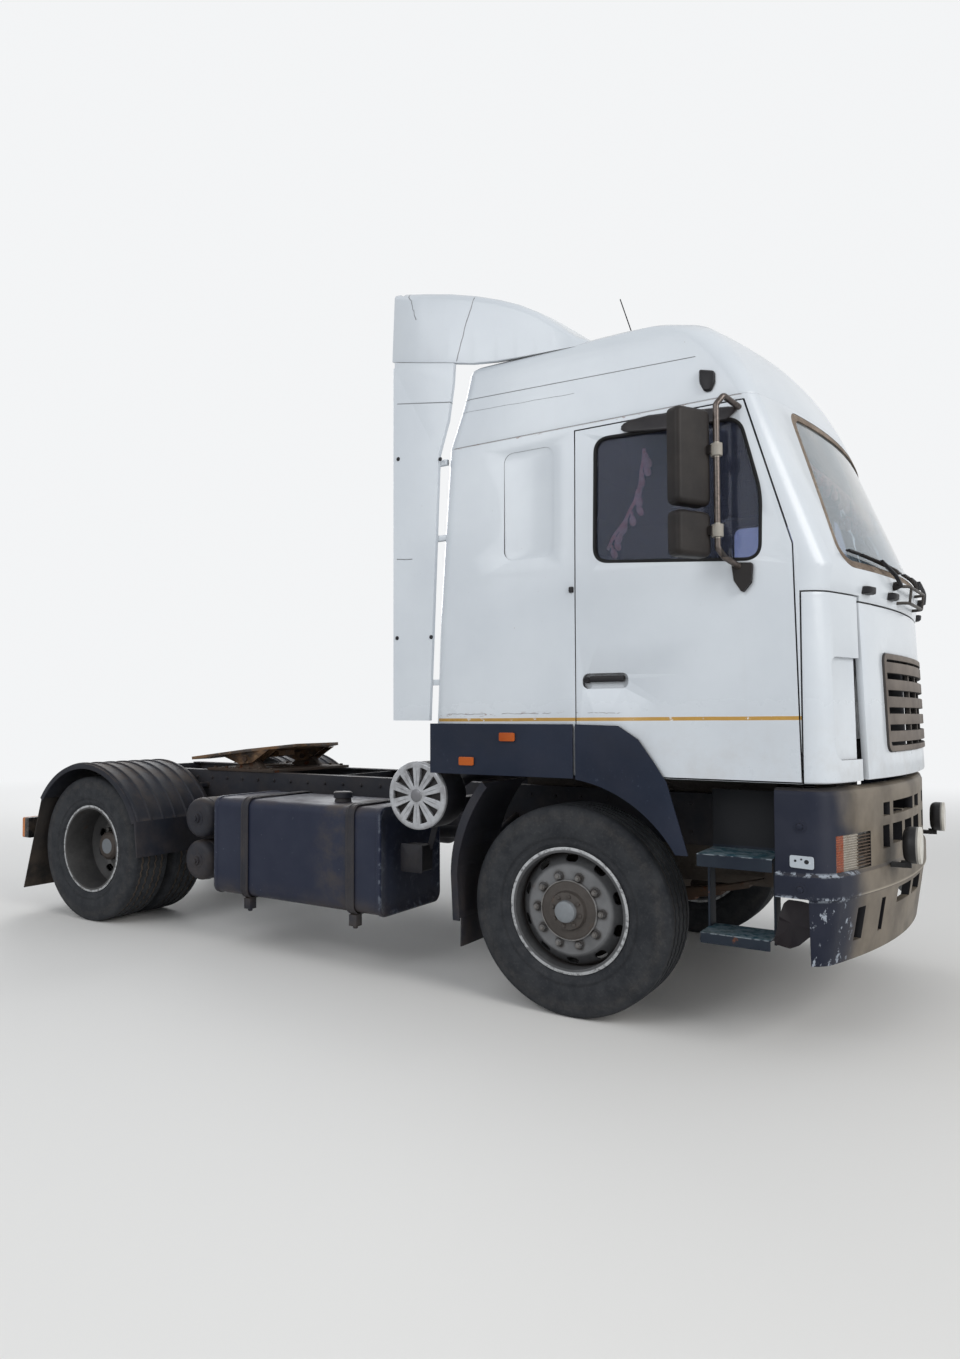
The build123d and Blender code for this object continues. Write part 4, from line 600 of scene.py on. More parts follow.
def wheel_finish(name, axle_x, disc, hub):
    """Colour by distance from the axle: bare edge, dark well of grime and painted shade, grey disc, grimy
    nuts, brown hub, pale cap, painted shade in corners.
    """
    f = Finish(name)
    radius, turn = f.about(axle_x, TYRE_RADIUS)
    grime = f.noise(26.0, 9.0, 0.7)
    f.colour = f.mottled(disc, [c * 1.45 for c in disc], 7.0, 6.0)
    # the dark well is partly grime and partly painted shade in the recess
    well = radius.band(0.212, 0.226) * radius.band(0.293, 0.285)
    f.lay(well * f.blend(grime, 0.80, 0.35), (0.012, 0.012, 0.014))
    # distance from the nearest of ten nuts, by the cosine rule on what is left of a tenth of a turn
    spare = f.add("Math", {0: turn, 1: pi / NUTS, 2: -pi / NUTS}, operation="WRAP")
    from_nut = abs(radius * radius + NUT_CIRCLE ** 2 - spare.math("COSINE")
                   * (radius * (2 * NUT_CIRCLE))).math("SQRT")
    f.lay(from_nut.band(0.038, 0.020) * grime.band(0.35, 0.62) * 0.8, (0.034, 0.024, 0.018))
    f.lay(from_nut.near(0.0205, 0.0055) * 0.85, (0.014, 0.012, 0.011))
    f.lay(from_nut.band(0.0135, 0.0120) * 0.6, (0.17, 0.16, 0.15))
    f.lay(radius.band(HUB_EDGE + 0.001, HUB_EDGE - 0.003), f.mix(grime, hub, (0.035, 0.028, 0.024)))
    f.lay(radius.near(HUB_EDGE, 0.005) * grime.band(0.35, 0.55), (0.22, 0.21, 0.20))
    f.lay(radius.band(0.055, 0.052), f.mix(grime, (0.24, 0.26, 0.28), (0.15, 0.16, 0.17)))
    edge = radius.band(0.2885, 0.2925) * f.noise(38.0, 8.0, 0.7).band(0.38, 0.52)
    f.lay(edge * 0.9, (0.46, 0.47, 0.48))
    # painted shade: corners and recesses darkened by ambient occlusion
    f.lay(f.corners(0.03) * 0.6, (0.030, 0.022, 0.017))
    f.lay(f.noise(12.0, 8.0, 0.7, shift=6.0).band(0.58, 0.72) * 0.5, (0.085, 0.045, 0.024))
    f.emboss(grime, 0.0012)
    f.emboss(f.noise(240.0, 3.0), 0.0002)
    return f.done(f.blend(edge, 0.62, 0.38), metallic=0.25)


def round_axle(radius, turn, y):
    """Points at a radius and a turn about the front axle, from straight up towards the front."""
    return np.stack([FRONT_AXLE_X + radius * np.sin(turn), 0 * turn + y,
                     TYRE_RADIUS + radius * np.cos(turn)], -1)


front_wheel_paint = wheel_finish("front_wheel_paint", FRONT_AXLE_X, (0.120, 0.122, 0.126),
                                 (0.085, 0.075, 0.068))
rear_wheel_paint = wheel_finish("rear_wheel_paint", REAR_AXLE_X, (0.090, 0.088, 0.086), (0.070, 0.055, 0.045))
dress(front_wheel_paint, "wheel_front_right", "wheel_front_left", edge=0.002)
dress(rear_wheel_paint, "wheels_rear_right", "wheels_rear_left", edge=0.002)
for side, label in SIDES:
    outward = (0, side, 0)
    fittings = []
    for turn in 2 * pi * (np.arange(NUTS) + 0.5) / NUTS:
        fittings += [turned(WASHER, round_axle(NUT_CIRCLE, turn, side * WASHER_Y), outward, 20),
                     turned(STUD, round_axle(NUT_CIRCLE, turn, side * STUD_Y), outward, 12)]
    hub_bolts = round_axle(HUB_BOLT_CIRCLE, 2 * pi * np.arange(8) / 8 + 0.2, side * HUB_BOLT_Y)
    fittings += [bolts(hub_bolts, outward, 0.0095, 0.008),
                 turned([(along, HUB_EDGE + r) for along, r in HUB_LIP],
                        (FRONT_AXLE_X, side * LIP_Y, TYRE_RADIUS), outward, 64)]
    piece(f"front_wheel_fittings_{label}", fittings, front_wheel_paint, f"front_wheel_{label}")

# Brake backing plates: pressed discs bolted to the knuckles, closing the drums off behind the front
# wheels. Plain sheet iron, dark with brake dust and rusting from the rim in.
BACKING = np.array([(0.000, 0.070), (0.000, 0.200), (0.004, 0.206), (0.004, 0.246), (0.010, 0.252),
                    (0.013, 0.252), (0.008, 0.242), (0.008, 0.204), (0.004, 0.198), (0.004, 0.070)])
BACKING_Y = 1.0135
FIXING_CIRCLE = 0.165
plate_iron = weathered("plate_iron", (0.012, 0.011, 0.012), (0.026, 0.022, 0.020), rough=0.75, dust=0.4,
                       rust=0.25)
for side, label in SIDES:
    plate = turned(BACKING * (side, 1), (FRONT_AXLE_X, side * BACKING_Y, TYRE_RADIUS), (0, 1, 0), 72,
                   closed=True)
    fixings = round_axle(FIXING_CIRCLE, pi / 2 - np.arange(8) * pi / 4, side * (BACKING_Y - 0.0005))
    heads = bolts(fixings, (0, -side, 0), 0.012, 0.009)
    piece(f"brake_plate_{label}", [plate, heads], plate_iron, f"knuckle_{label}")

# Air, battery and exhaust gear hung on the rails: pressed reservoirs with a boss in each end, a ribbed
# battery box, a drum for the air cleaner and a small switch box, all sprayed with the frame.
gear_paint = weathered("gear_paint", (0.013, 0.015, 0.023), (0.028, 0.030, 0.038), dust=0.4, rust=0.12)
drum_paint = weathered("drum_paint", (0.010, 0.011, 0.015), (0.020, 0.021, 0.027), rough=0.45, dust=0.2,
                       rust=0.04)
dress(gear_paint, "air_reservoirs", "battery_box", "silencer", edge=0.002)
dress(drum_paint, "air_cleaner", edge=0.002)
RESERVOIR_X = -1.160
RESERVOIR_Z = (0.500, 0.775)
RESERVOIR_END = 1.090
BOSS = [(0.0, 0.052), (0.006, 0.050), (0.009, 0.030), (0.020, 0.028), (0.022, 0.018), (0.034, 0.016),
        (0.036, 0.0)]
WELD_BEAD = [(-0.006, 0.1295), (-0.003, 0.1325), (0.003, 0.1325), (0.006, 0.1295)]
bosses = [turned(BOSS, (RESERVOIR_X, -RESERVOIR_END + 0.004, z), (0, -1, 0), 24) for z in RESERVOIR_Z]
bosses += [turned(WELD_BEAD, (RESERVOIR_X, y, z), (0, -1, 0), 48) for z in RESERVOIR_Z
           for y in (-RESERVOIR_END + 0.075, -0.52)]
piece("reservoir_bosses", bosses, gear_paint, "chassis")
# switch box ahead of the tank, pressed with a flanged lid, on a flat strap from the drum's bracket
switch_box = box_skin((0.494, 0.655), (0.066, 0.072), 0.012, 1,
                      [(-0.930, 0.0), (-1.035, 0.0), (-1.035, -0.006), (-1.043, -0.006), (-1.046, 0.004),
                       (-1.050, 0.012)], steps=5)
flat_strap = np.array([[(x + aside, y, z) for aside, y in ((-0.018, -0.958), (0.018, -0.958), (0.018, -0.952),
                                                         (-0.018, -0.952))]
                       for x, z in ((0.555, 0.700), (0.575, 0.760), (0.610, 0.880), (0.625, 0.915))])
piece("switch_box", [sheet_of(skin, wrap_columns=True) for skin in (switch_box, flat_strap)], drum_paint,
      "chassis")

# Wheel trim on the drum: silver moulded cover with ten spokes, each creased down its middle, round a
# plain domed boss; painted shade darkens the creases and the corners.
TRIM_X = 0.635
TRIM_Z = 1.020
trim = Finish("trim_silver")
trim_radius, trim_turn = trim.about(TRIM_X, TRIM_Z)
trim.colour = trim.mottled((0.44, 0.45, 0.47), (0.27, 0.27, 0.28), 18.0, 8.0, 0.35, 0.7, rough=0.65)
crease = abs((trim_turn * 5.0 + pi / 2).math("SINE")).band(0.10, 0.0) * trim_radius.near(0.095, 0.062)
# painted shade down the crease of each spoke
trim.lay(crease * 0.85, (0.07, 0.07, 0.075))
trim.lay(trim_radius.band(0.034, 0.030), (0.16, 0.16, 0.17))
# painted shade in the corners
trim.lay(trim.corners(0.02) * 0.8, (0.05, 0.05, 0.05))
trim.emboss(crease, 0.003, 0.8)
trim.emboss(trim.noise(200.0, 3.0), 0.0002)
dress(trim.done(0.33, metallic=0.35), "wheel_trim", edge=0.003)

# Mudguards and flaps: ribbed black plastic half rings over the wheels, and rubber flaps hung behind the
# rear ones, all dulled by mud spray.
guard_plastic = weathered("guard_plastic", (0.009, 0.011, 0.018), (0.020, 0.022, 0.030), rough=0.55,
                          dust=0.45, clean_above=0.9)
flap_rubber = weathered("flap_rubber", (0.011, 0.011, 0.012), (0.022, 0.021, 0.021), rough=0.8, dust=0.5,
                        clean_above=0.9)
dress(guard_plastic, "front_mudguards", "rear_mudguards", edge=0.002)
dress(flap_rubber, "rear_flaps", edge=0.002)

# Fifth wheel: cast plate with a throat for the kingpin, thick old grease over rust, on a base bolted to
# the rails. The plate rocks on two pins.
grease = Finish("coupling_grease")
smear = grease.noise(6.5, 9.0, 0.6, stretch=(0.6, 1.2, 1.0)).band(0.40, 0.62)
grease.colour = grease.mix(smear, (0.030, 0.019, 0.012), (0.21, 0.115, 0.055))
grease.lay(grease.noise(18.0, 8.0, shift=5.0).band(0.58, 0.72), (0.30, 0.19, 0.10))
grease.emboss(grease.noise(28.0, 8.0), 0.003)
dress(grease.done(grease.blend(smear, 0.35, 0.75), metallic=0.1), "fifth_wheel_plate", edge=0.003)
dress(spring_steel, "fifth_wheel_base", edge=0.002)
base_low, base_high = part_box("fifth_wheel_base")
base_bolts = [(x, y, RAIL_TOP + 0.0175) for y in (-0.405, 0.405)
              for x in np.linspace(base_low.x + 0.05, base_high.x - 0.05, 6)]
piece("base_bolts", [bolts(base_bolts, (0, 0, 1), 0.014, 0.013)], spring_steel, "chassis")

# Tail lamps: red moulded lenses with an amber and a clear field, ribbed inside, in a dark housing on a
# steel bracket at each rear corner.
LENS_FACE_X = -2.930
lens = Finish("tail_lamp_plastic")
face_on = lens.x.band(LENS_FACE_X + 0.030, LENS_FACE_X + 0.027)
across = abs(lens.y)
lens.colour = lens.mix(across.band(1.058, 1.062), (0.30, 0.014, 0.010), (0.60, 0.17, 0.015))
lens.lay(across.band(0.912, 0.908), (0.50, 0.47, 0.44))
lens.lay(across.near(1.060, 0.004) | across.near(0.910, 0.004), (0.03, 0.03, 0.03))
lens.colour = lens.mix(face_on, (0.020, 0.020, 0.021), lens.colour)
lens.emboss(lens.y.sine(900.0) * lens.z.sine(900.0) * face_on, 0.0012)
lens_dust = lens.noise(16.0, 8.0).band(0.40, 0.75) * 0.45
lens.lay(lens_dust, DUST)
dress(lens.done(lens.blend(lens_dust, 0.22, 0.8)), "tail_lamps", edge=0.002)

# Entry steps: folded steel painted teal, with a pressed grip on the treads and worn to metal along the
# edges; the faces that do not look up carry a darker navy copy of the teal as painted shade, and all
# above the upper tread is near black.
TREAD_Z = (0.845, 0.498)
step = Finish("step_paint")
on_top = step.up()
# faces that look up get the teal; the others get a darker navy copy of it as painted shade
step.colour = step.mix(on_top, step.mottled((0.008, 0.013, 0.023), (0.017, 0.024, 0.035), 6.0, 7.0),
                       step.mottled((0.008, 0.044, 0.066), (0.024, 0.078, 0.102), 9.0, 8.0))
step.emboss((step.x.sine(210.0) * step.y.sine(210.0)).band(0.3, 0.7) * on_top, 0.002)
step.lay(step.noise(11.0, 9.0, 0.7, shift=3.0).band(0.62, 0.68) * 0.7, RUST)
tread_edge = step.z.near(TREAD_Z[0], 0.004) | step.z.near(TREAD_Z[1], 0.004)
step.lay(tread_edge * step.noise(30.0, 6.0).band(0.40, 0.55) * 0.8, (0.26, 0.30, 0.33))
step.lay(step.z.band(0.856, 0.862), (0.010, 0.011, 0.014))
step.lay(on_top * step.noise(7.0, 8.0, shift=8.0).band(0.45, 0.75) * 0.25, DUST)
dress(step.done(0.55, specular_ior_level=0.2), "entry_steps", edge=0.002)

# Bumper: thick moulded plastic, dark blue-black on its sides and paler brown-grey on its front and top
# faces, with the paint scraped white on the low right corner and the ledge. Bolt heads hold its ends.
BUMPER_LEDGE = 0.788
BUMPER_STEP_Z = 0.696
BUMPER_BOLTS = [(2.540, 1.2375, 0.990), (2.540, 1.2495, 0.735)]
WASHER_PLATE = [(-0.001, 0.014), (-0.001, 0.026), (0.002, 0.026), (0.003, 0.014)]
bumper = Finish("bumper_plastic")
off_middle = abs(bumper.y) + (bumper.noise(7.0, 6.0) - 0.5) * 0.10
off_middle -= bumper.z.band(0.92, 1.02) * 0.10
# front and top faces away from the ends are made paler brown-grey than the sides
pale_front_and_top = off_middle.band(1.10, 0.90) * (bumper.ahead().band(0.55, 0.85) | bumper.up())
on_ledge = bumper.up() * bumper.blend(pale_front_and_top, 0.25, 0.75)
bumper.colour = bumper.mottled((0.008, 0.011, 0.024), (0.017, 0.020, 0.034), 4.0, 7.0)
pale_front_tone = bumper.mottled((0.100, 0.084, 0.066), (0.190, 0.162, 0.128), 5.0, 8.0, shift=2.0)
bumper.lay(pale_front_and_top | on_ledge, pale_front_tone)
low_corner = bumper.z.band(0.72, 0.66) * bumper.y.band(-1.00, -1.06)
ledge_lines = bumper.z.near(BUMPER_STEP_Z, 0.016) | bumper.z.near(BUMPER_LEDGE + 0.006, 0.012)
ledge_lines *= bumper.y.band(-0.95, -1.10)
scrapes = low_corner * bumper.noise(21.0, 10.0, 0.72, stretch=(1, 1, 0.7)).band(0.585, 0.615)
scrapes |= ledge_lines * bumper.noise(30.0, 9.0, 0.7).band(0.50, 0.56)
bumper.lay(scrapes * 0.85, (0.36, 0.40, 0.46))
bumper.lay(bumper.z.near(BUMPER_STEP_Z + 0.002, 0.010) * pale_front_and_top * 0.8, (0.36, 0.32, 0.26))
bumper.lay(bumper.noise(60.0, 8.0, 0.75, shift=4.0).band(0.665, 0.69) * 0.4, (0.20, 0.20, 0.21))
# painted shade in the corners
bumper.lay(bumper.corners(0.05) * 0.45, (0.016, 0.014, 0.014))
# painted shade on the slot walls at the ends
in_slots = bumper.ahead().band(0.5, 0.2) * abs(bumper.y).band(1.12, 1.10)
bumper.lay(in_slots * bumper.up().rest(), (0.008, 0.008, 0.010))
bumper.emboss(bumper.noise(320.0, 3.0), 0.0003)
bumper.emboss(scrapes, 0.0015, 0.7)
bumper_plastic = bumper.done(bumper.blend(scrapes, 0.50, 0.8), specular_ior_level=0.2)
dress(bumper_plastic, "bumper", edge=0.004)
for side, label in SIDES:
    places = [(x, side * y, z) for x, y, z in BUMPER_BOLTS]
    piece(f"bumper_bolts_{label}", [bolts(places, (0, side, 0), 0.014, 0.009)]
          + [turned(WASHER_PLATE, at, (0, side, 0), 24) for at in places], bumper_plastic, "chassis")

# Torn end of the bumper's lower right corner: a thin moulded flap, broken off its fixing, that hangs bent
# inwards behind the corner.


def rounded(points, radius, closed=True, steps=7):
    """Line with its corners rounded: at each a quadratic curve, from a radius before it to one after it."""
    points = np.asarray(points, float)
    back, on = np.roll(points, 1, 0) - points, np.roll(points, -1, 0) - points
    far_back, far_on = (np.linalg.norm(run, axis=1, keepdims=True) for run in (back, on))
    start = points + back / far_back * np.minimum(radius, 0.48 * far_back)
    end = points + on / far_on * np.minimum(radius, 0.48 * far_on)
    t = np.linspace(0, 1, steps)[None, :, None]
    curve = (1 - t) ** 2 * start[:, None] + 2 * t * (1 - t) * points[:, None] + t ** 2 * end[:, None]
    if closed:
        return curve.reshape(-1, points.shape[1])
    return np.concatenate([points[:1], curve[1:-1].reshape(-1, points.shape[1]), points[-1:]])


def domed(outline, place, profile):
    """Plate over an outline: rings drawn towards its middle by the profile's share, raised by its height."""
    outline = np.asarray(outline, float)
    middle = outline.mean(0)
    rings = []
    for share, height in profile:
        ring = middle + (outline - middle) * share
        rings.append(place(ring[:, 0], ring[:, 1], np.full(len(ring), height)))
    return sheet_of(np.array(rings), wrap_columns=True)


def torn_away(x, z, h):
    """Place on the flap, which leans inwards towards the front and is rippled up and down."""
    return np.stack([x, -1.205 + 0.40 * (2.60 - x) + 0.012 * np.sin(z * 60) - h, z], -1)


TORN_LINE = rounded([(2.452, 0.650), (2.474, 0.671), (2.530, 0.674), (2.590, 0.668), (2.590, 0.560),
                     (2.520, 0.492), (2.478, 0.468), (2.416, 0.474), (2.414, 0.494), (2.436, 0.590)], 0.008)
torn_plastic = weathered("torn_plastic", (0.009, 0.008, 0.011), (0.020, 0.016, 0.019), dust=0.10,
                         clean_above=1.2, chips=0.3)
piece("torn_corner", [domed(TORN_LINE, torn_away, [(0, -0.002), (1, -0.002), (1, 0.002), (0, 0.002)])],
      torn_plastic, "chassis")

# Blank bracket plate on the bumper's right side: a small stamped sheet with three holes, painted white
# and chipped at its edges, fixed from behind.
PLATE_Y = -1.2375
PLATE_LINE = rounded([(2.500, 0.822), (2.592, 0.818), (2.592, 0.870), (2.500, 0.872)], 0.010)


def on_plate(x, z, h):
    """Place (x, z, height off the bumper's right side)."""
    return np.stack([x, PLATE_Y - h, z], -1)


def circle(radius, steps=12):
    """Round section of a bar."""
    turn = np.linspace(0, 2 * pi, steps, endpoint=False)
    return np.stack([radius * np.cos(turn), radius * np.sin(turn)], -1)


plate_paint = weathered("plate_paint", (0.40, 0.44, 0.49), (0.50, 0.54, 0.58), dust=0.25, rust=0.1,
                        clean_above=1.0, chips=0.5)
plate = domed(PLATE_LINE, on_plate, [(0, -0.002), (1, -0.002), (1, 0.0025), (0.96, 0.004), (0, 0.004)])
piece("side_plate", [plate], plate_paint, "chassis")
plate_holes = [domed(circle(r, 16) + at, on_plate, [(0, 0.003), (1, 0.003), (1, 0.0048), (0, 0.0048)])
               for at, r in (((2.522, 0.850), 0.005), ((2.545, 0.857), 0.004), ((2.565, 0.848), 0.009))]
piece("side_plate_holes", plate_holes, drum_paint, "chassis")

# Head lamps: each a wrap-round lens with an amber end, a clear prismatic middle over a dull reflector, and
# dark cooling fins towards the middle of the bumper.
LAMP_ROW = (1.238, 1.388, 0.225)
AMBER_TO = 2.683
CLEAR_TO = 2.721


def bowed(y, half, front, drop):
    """X of a bowed front at y: an arc through the middle, furthest ahead, and the sides, back by the drop."""
    reach = (half ** 2 + drop ** 2) / (2 * drop)
    return FRONT_AXLE_X + front - reach + np.sqrt(reach ** 2 - np.asarray(y) ** 2)


def carried(line, section, up=None):
    """Closed section of (aside, up) points carried square along a line, its ends drawn in to their middle."""
    line, section = np.asarray(line, float), np.asarray(section, float)
    along = np.gradient(line, axis=0)
    along /= np.linalg.norm(along, axis=1, keepdims=True)
    if up is None:
        up = np.linalg.svd(line - line.mean(0), full_matrices=False)[2][-1]
    aside = np.cross(along, up)
    aside /= np.linalg.norm(aside, axis=1, keepdims=True)
    over = np.cross(aside, along)
    rings = line[:, None] + section[None, :, :1] * aside[:, None] + section[None, :, 1:] * over[:, None]
    ends = [np.repeat(line[[k]][:, None], len(section), 1) for k in (0, -1)]
    return sheet_of(np.concatenate([ends[0], rings, ends[1]]), wrap_columns=True)


lamps = Finish("lamp_lens")
prisms = lamps.y.sine(820.0).band(0.3, 0.9) | lamps.z.sine(620.0).band(0.3, 0.9)
lamps.colour = lamps.mix(prisms, (0.16, 0.022, 0.004), (0.33, 0.066, 0.011))
clear = lamps.mix(prisms, (0.13, 0.11, 0.085), (0.44, 0.40, 0.34))
lamps.lay(lamps.x.band(AMBER_TO - 0.001, AMBER_TO + 0.001), clear)
lamps.lay(lamps.x.band(CLEAR_TO - 0.001, CLEAR_TO + 0.001), (0.020, 0.018, 0.016))
lamps.lay(lamps.x.band(2.652, 2.646), (0.03, 0.03, 0.03))
lamp_dust = lamps.noise(20.0, 8.0).band(0.45, 0.75) * 0.4
lamps.lay(lamp_dust, DUST)
lamps.emboss(prisms, 0.0015)
dress(lamps.done(lamps.blend(lamp_dust, 0.12, 0.7), specular_ior_level=0.35), "head_lamps", edge=0.002)
fin_plastic = weathered("fin_plastic", (0.075, 0.052, 0.038), (0.13, 0.095, 0.072), rough=0.6, dust=0.3,
                        clean_above=1.0)
FIN_Y = np.linspace(0.885, 1.000, 12)
FIN_Z = np.linspace(0.815, 0.939, 10)
FIN_SECTION = [(-0.006, -0.002), (0.006, -0.002), (0.006, 0.002), (-0.006, 0.002)]
for side, label in SIDES:
    lines = [np.stack([bowed(FIN_Y, *LAMP_ROW) - 0.006, side * FIN_Y, 0 * FIN_Y + z], -1) for z in FIN_Z]
    fins = [carried(line, FIN_SECTION, up=(0, 0, 1.0)) for line in lines]
    piece(f"lamp_fins_{label}", fins, fin_plastic, "chassis", sharp=radians(50))

# Spot lamps: round dark shells with a white cover over the glass and a bright rim, each held by a bracket
# on the bumper's ledge.
spot = Finish("spot_lamp")
on_face = spot.x.band(2.918, 2.920)
spot.colour = spot.mix(spot.noise(8.0, 6.0), (0.008, 0.008, 0.010), (0.022, 0.021, 0.021))
spot.lay(spot.x.near(2.915, 0.005), (0.30, 0.29, 0.27))
spot.lay(on_face, spot.mottled((0.66, 0.65, 0.60), (0.52, 0.49, 0.43), 14.0, 7.0, 0.3, 0.75))
spot.emboss(spot.noise(120.0, 4.0), 0.0003)
dress(spot.done(spot.blend(on_face, 0.45, 0.3), specular_ior_level=0.3), "spot_lamps", edge=0.003)

# Cab shell and doors: pressed steel, white enamel touched up with a brush, with dust low down, chips, and
# rust that runs from the drip seam and the stripe. A yellow stripe with thin white edges is painted along
# the waist; inside, the walls are lined with grey trim.
LINING = (0.034, 0.034, 0.038)
DRIP_Z = 2.833
STRIPE_REAR = (0.780, 1.4225)
STRIPE_FRONT = (2.551, 1.4355)
CAB_MIDDLE = (1.65, 0.0, 2.15)


def seam(f, start, end, reach, wander):
    """1 along the straight line between two (x, z) points of the side view, fading at the reach."""
    length = np.hypot(end[0] - start[0], end[1] - start[1])
    run, rise = (end[0] - start[0]) / length, (end[1] - start[1]) / length
    a, b = f.x - start[0], f.z - start[1]
    aside, along = a * rise - b * run, a * run + b * rise
    if wander:
        aside += (f.noise(9.0, 3.0, shift=2.2) - 0.5) * wander
    return aside.near(0.0, reach) * (along.band(0.0, 0.004) * along.band(length, length - 0.004))


def striped(f, side_on):
    """The waist stripe and what has worn along it: chipped paint, rust specks, hair cracks, the drip gap."""
    tilt = (STRIPE_FRONT[1] - STRIPE_REAR[1]) / (STRIPE_FRONT[0] - STRIPE_REAR[0])
    sway = (f.noise(3.0, 3.0) - 0.5) * 0.003
    height = f.z + sway - ((f.x - STRIPE_REAR[0]) * tilt + STRIPE_REAR[1])
    f.lay(height.near(0.0, 0.0145) * side_on, (0.72, 0.72, 0.70))
    worn_off = f.noise(24.0, 8.0, 0.7, shift=6.0).band(0.66, 0.60)
    f.lay(abs(height).band(0.0088, 0.0075) * side_on * worn_off,
          f.mix(f.noise(30.0, 6.0), (0.50, 0.29, 0.045), (0.38, 0.20, 0.035)))
    beside = f.z.near(DRIP_Z, 0.016) | height.near(0.026, 0.020) * f.x.band(1.95, 0.80)
    specks = f.noise(34.0, 8.0, 0.7, stretch=(0.5, 0.5, 1.6)).band(0.57, 0.63)
    f.lay(beside * specks * side_on * 0.9, (0.17, 0.065, 0.030))
    cracks = (height + f.noise(14.0, 4.0) * 0.02).near(0.040, 0.0022)
    cracks *= f.x.band(1.98, 1.90) * f.noise(5.0, 4.0, shift=1.0).band(0.44, 0.47)
    f.lay(cracks * side_on * 0.9, (0.07, 0.045, 0.035))
    drip_gap = f.z.near(DRIP_Z, 0.0060) * f.blend(f.noise(5.0, 6.0, shift=3.0), 0.45, 0.95)
    f.lay(drip_gap * side_on, (0.105, 0.075, 0.060))


def cab_enamel(name, stripe=False, seams=(), dark_back=True):
    """White enamel in soft tones, tinted blue-grey as painted shade, with rain streaks, dust, painted shade
    in corners, dark joint lines, chips, and grey lining inside.
    """
    f = Finish(name)
    # white enamel in two tones that vary at random, tinted blue-grey and dimmed as painted shade
    f.colour = f.mottled((0.62, 0.66, 0.70), (0.55, 0.59, 0.635), 1.1, 6.0)
    f.lay(f.noise(9.0, 6.0, 0.6, stretch=(1.6, 1.6, 0.12)).band(0.55, 0.80) * 0.05, (0.42, 0.41, 0.38))
    spray = f.z.band(1.55, 1.15) * f.noise(6.0, 9.0, 0.7).band(0.35, 0.75)
    f.lay(spray * 0.28, (0.36, 0.31, 0.26))
    f.lay(f.up() * f.noise(3.0, 8.0, 0.7, shift=9.0).band(0.35, 0.75) * 0.30, (0.33, 0.30, 0.26))
    if stripe:
        striped(f, abs(f.y).band(1.236, 1.238))
    # painted shade in the corners
    f.lay(f.corners(0.022) * 0.6, (0.12, 0.10, 0.085))
    if seams:
        drawn = reduce(Field.__or__, [seam(f, *line) for line in seams])
        f.lay(drawn * 0.75, (0.12, 0.12, 0.125))
        f.emboss(drawn, -0.004)
    f.lay(f.noise(95.0, 3.0, shift=4.0).band(0.745, 0.77) * 0.5, (0.25, 0.20, 0.16))
    outwards = f.add("VectorMath", {0: f.place, 1: CAB_MIDDLE}, operation="SUBTRACT")
    inside = f.add("VectorMath", {0: f.facing, 1: outwards}, "Value",
                   operation="DOT_PRODUCT").band(0.02, -0.10)
    if dark_back:
        f.lay(inside, f.mix(f.noise(2.0, 6.0), LINING, [c * 1.5 for c in LINING]))
    f.emboss(f.noise(2.2, 3.0), 0.004, 0.25)
    f.emboss(f.noise(420.0, 2.0), 0.00008)
    return f.done(f.blend(spray | inside, 0.27, 0.60), coat_weight=0.15, coat_roughness=0.12)


dress(cab_enamel("cab_enamel", stripe=True), "cab_shell", "door_right", "door_left", edge=0.0025)

# Door handles: a black moulded pull bar in a pocket, with a round lock at its rear end; a rubber stop sits
# in the gap behind each door.
PULL_X = (1.6395, 1.6455, 1.7975, 1.8035)
PULL_Y, PULL_Z = 1.2445, 1.616
LOCK = [(-0.012, 0.0), (-0.012, 0.015), (0.004, 0.015), (0.007, 0.012), (0.007, 0.006), (0.004, 0.005),
        (0.004, 0.0)]
STOP_LINE = rounded([(1.538, 2.030), (1.560, 2.030), (1.560, 2.058), (1.538, 2.058)], 0.006)
# side of the cab and its roof: height, half width
CAB_SIDE = np.array([(1.165, 1.250), (1.940, 1.250), (2.075, 1.249), (2.835, 1.240), (2.940, 1.229),
                     (3.040, 1.216), (3.110, 1.208), (3.170, 1.201), (3.218, 1.194)])


def on_side(side):
    """Place (x, z, height off the panel) on the cab's right (-1) or left (1) side."""
    return lambda x, z, h: np.stack([x, side * (np.interp(z, *CAB_SIDE.T) + h), z], -1)


black_trim = weathered("black_trim", (0.008, 0.008, 0.010), (0.018, 0.018, 0.021), rough=0.42, dust=0.15,
                       clean_above=0.6, chips=0.3)
for side, label in SIDES:
    pull = carried([(x, side * PULL_Y, PULL_Z) for x in PULL_X], rounded_box_line(0.0115, 0.0138, 0.006, 4),
                   up=(0, 0, 1.0))
    lock = turned(LOCK, (1.6225, side * 1.2435, 1.612), (0, side, 0), 28)
    piece(f"door_pull_{label}", [pull, lock], black_trim, f"door_{label}")
    stop = domed(STOP_LINE, on_side(side), [(0, -0.001), (1, -0.001), (1, 0.008), (0.8, 0.014), (0, 0.015)])
    piece(f"door_stop_{label}", [stop], black_trim, "cab")

# Side windows: tinted glass in a black rubber channel with a lip all round; an aged smoked wind deflector
# is stuck along the top of each.
RUBBER_SECTION = [(-0.008, -0.016), (-0.008, -0.004), (-0.006, 0.0010), (-0.002, 0.0035), (0.003, 0.0035),
                  (0.007, 0.0015), (0.0080, -0.001), (0.003, -0.003), (0.000, -0.016)]
window_line = rounded([(1.670, 2.750), (2.326, 2.732), (2.410, 2.394), (2.404, 2.108), (1.664, 2.168)],
                      0.068, steps=10)
window_line = window_line[np.linalg.norm(np.roll(window_line, -1, 0) - window_line, axis=1) > 0.0005]
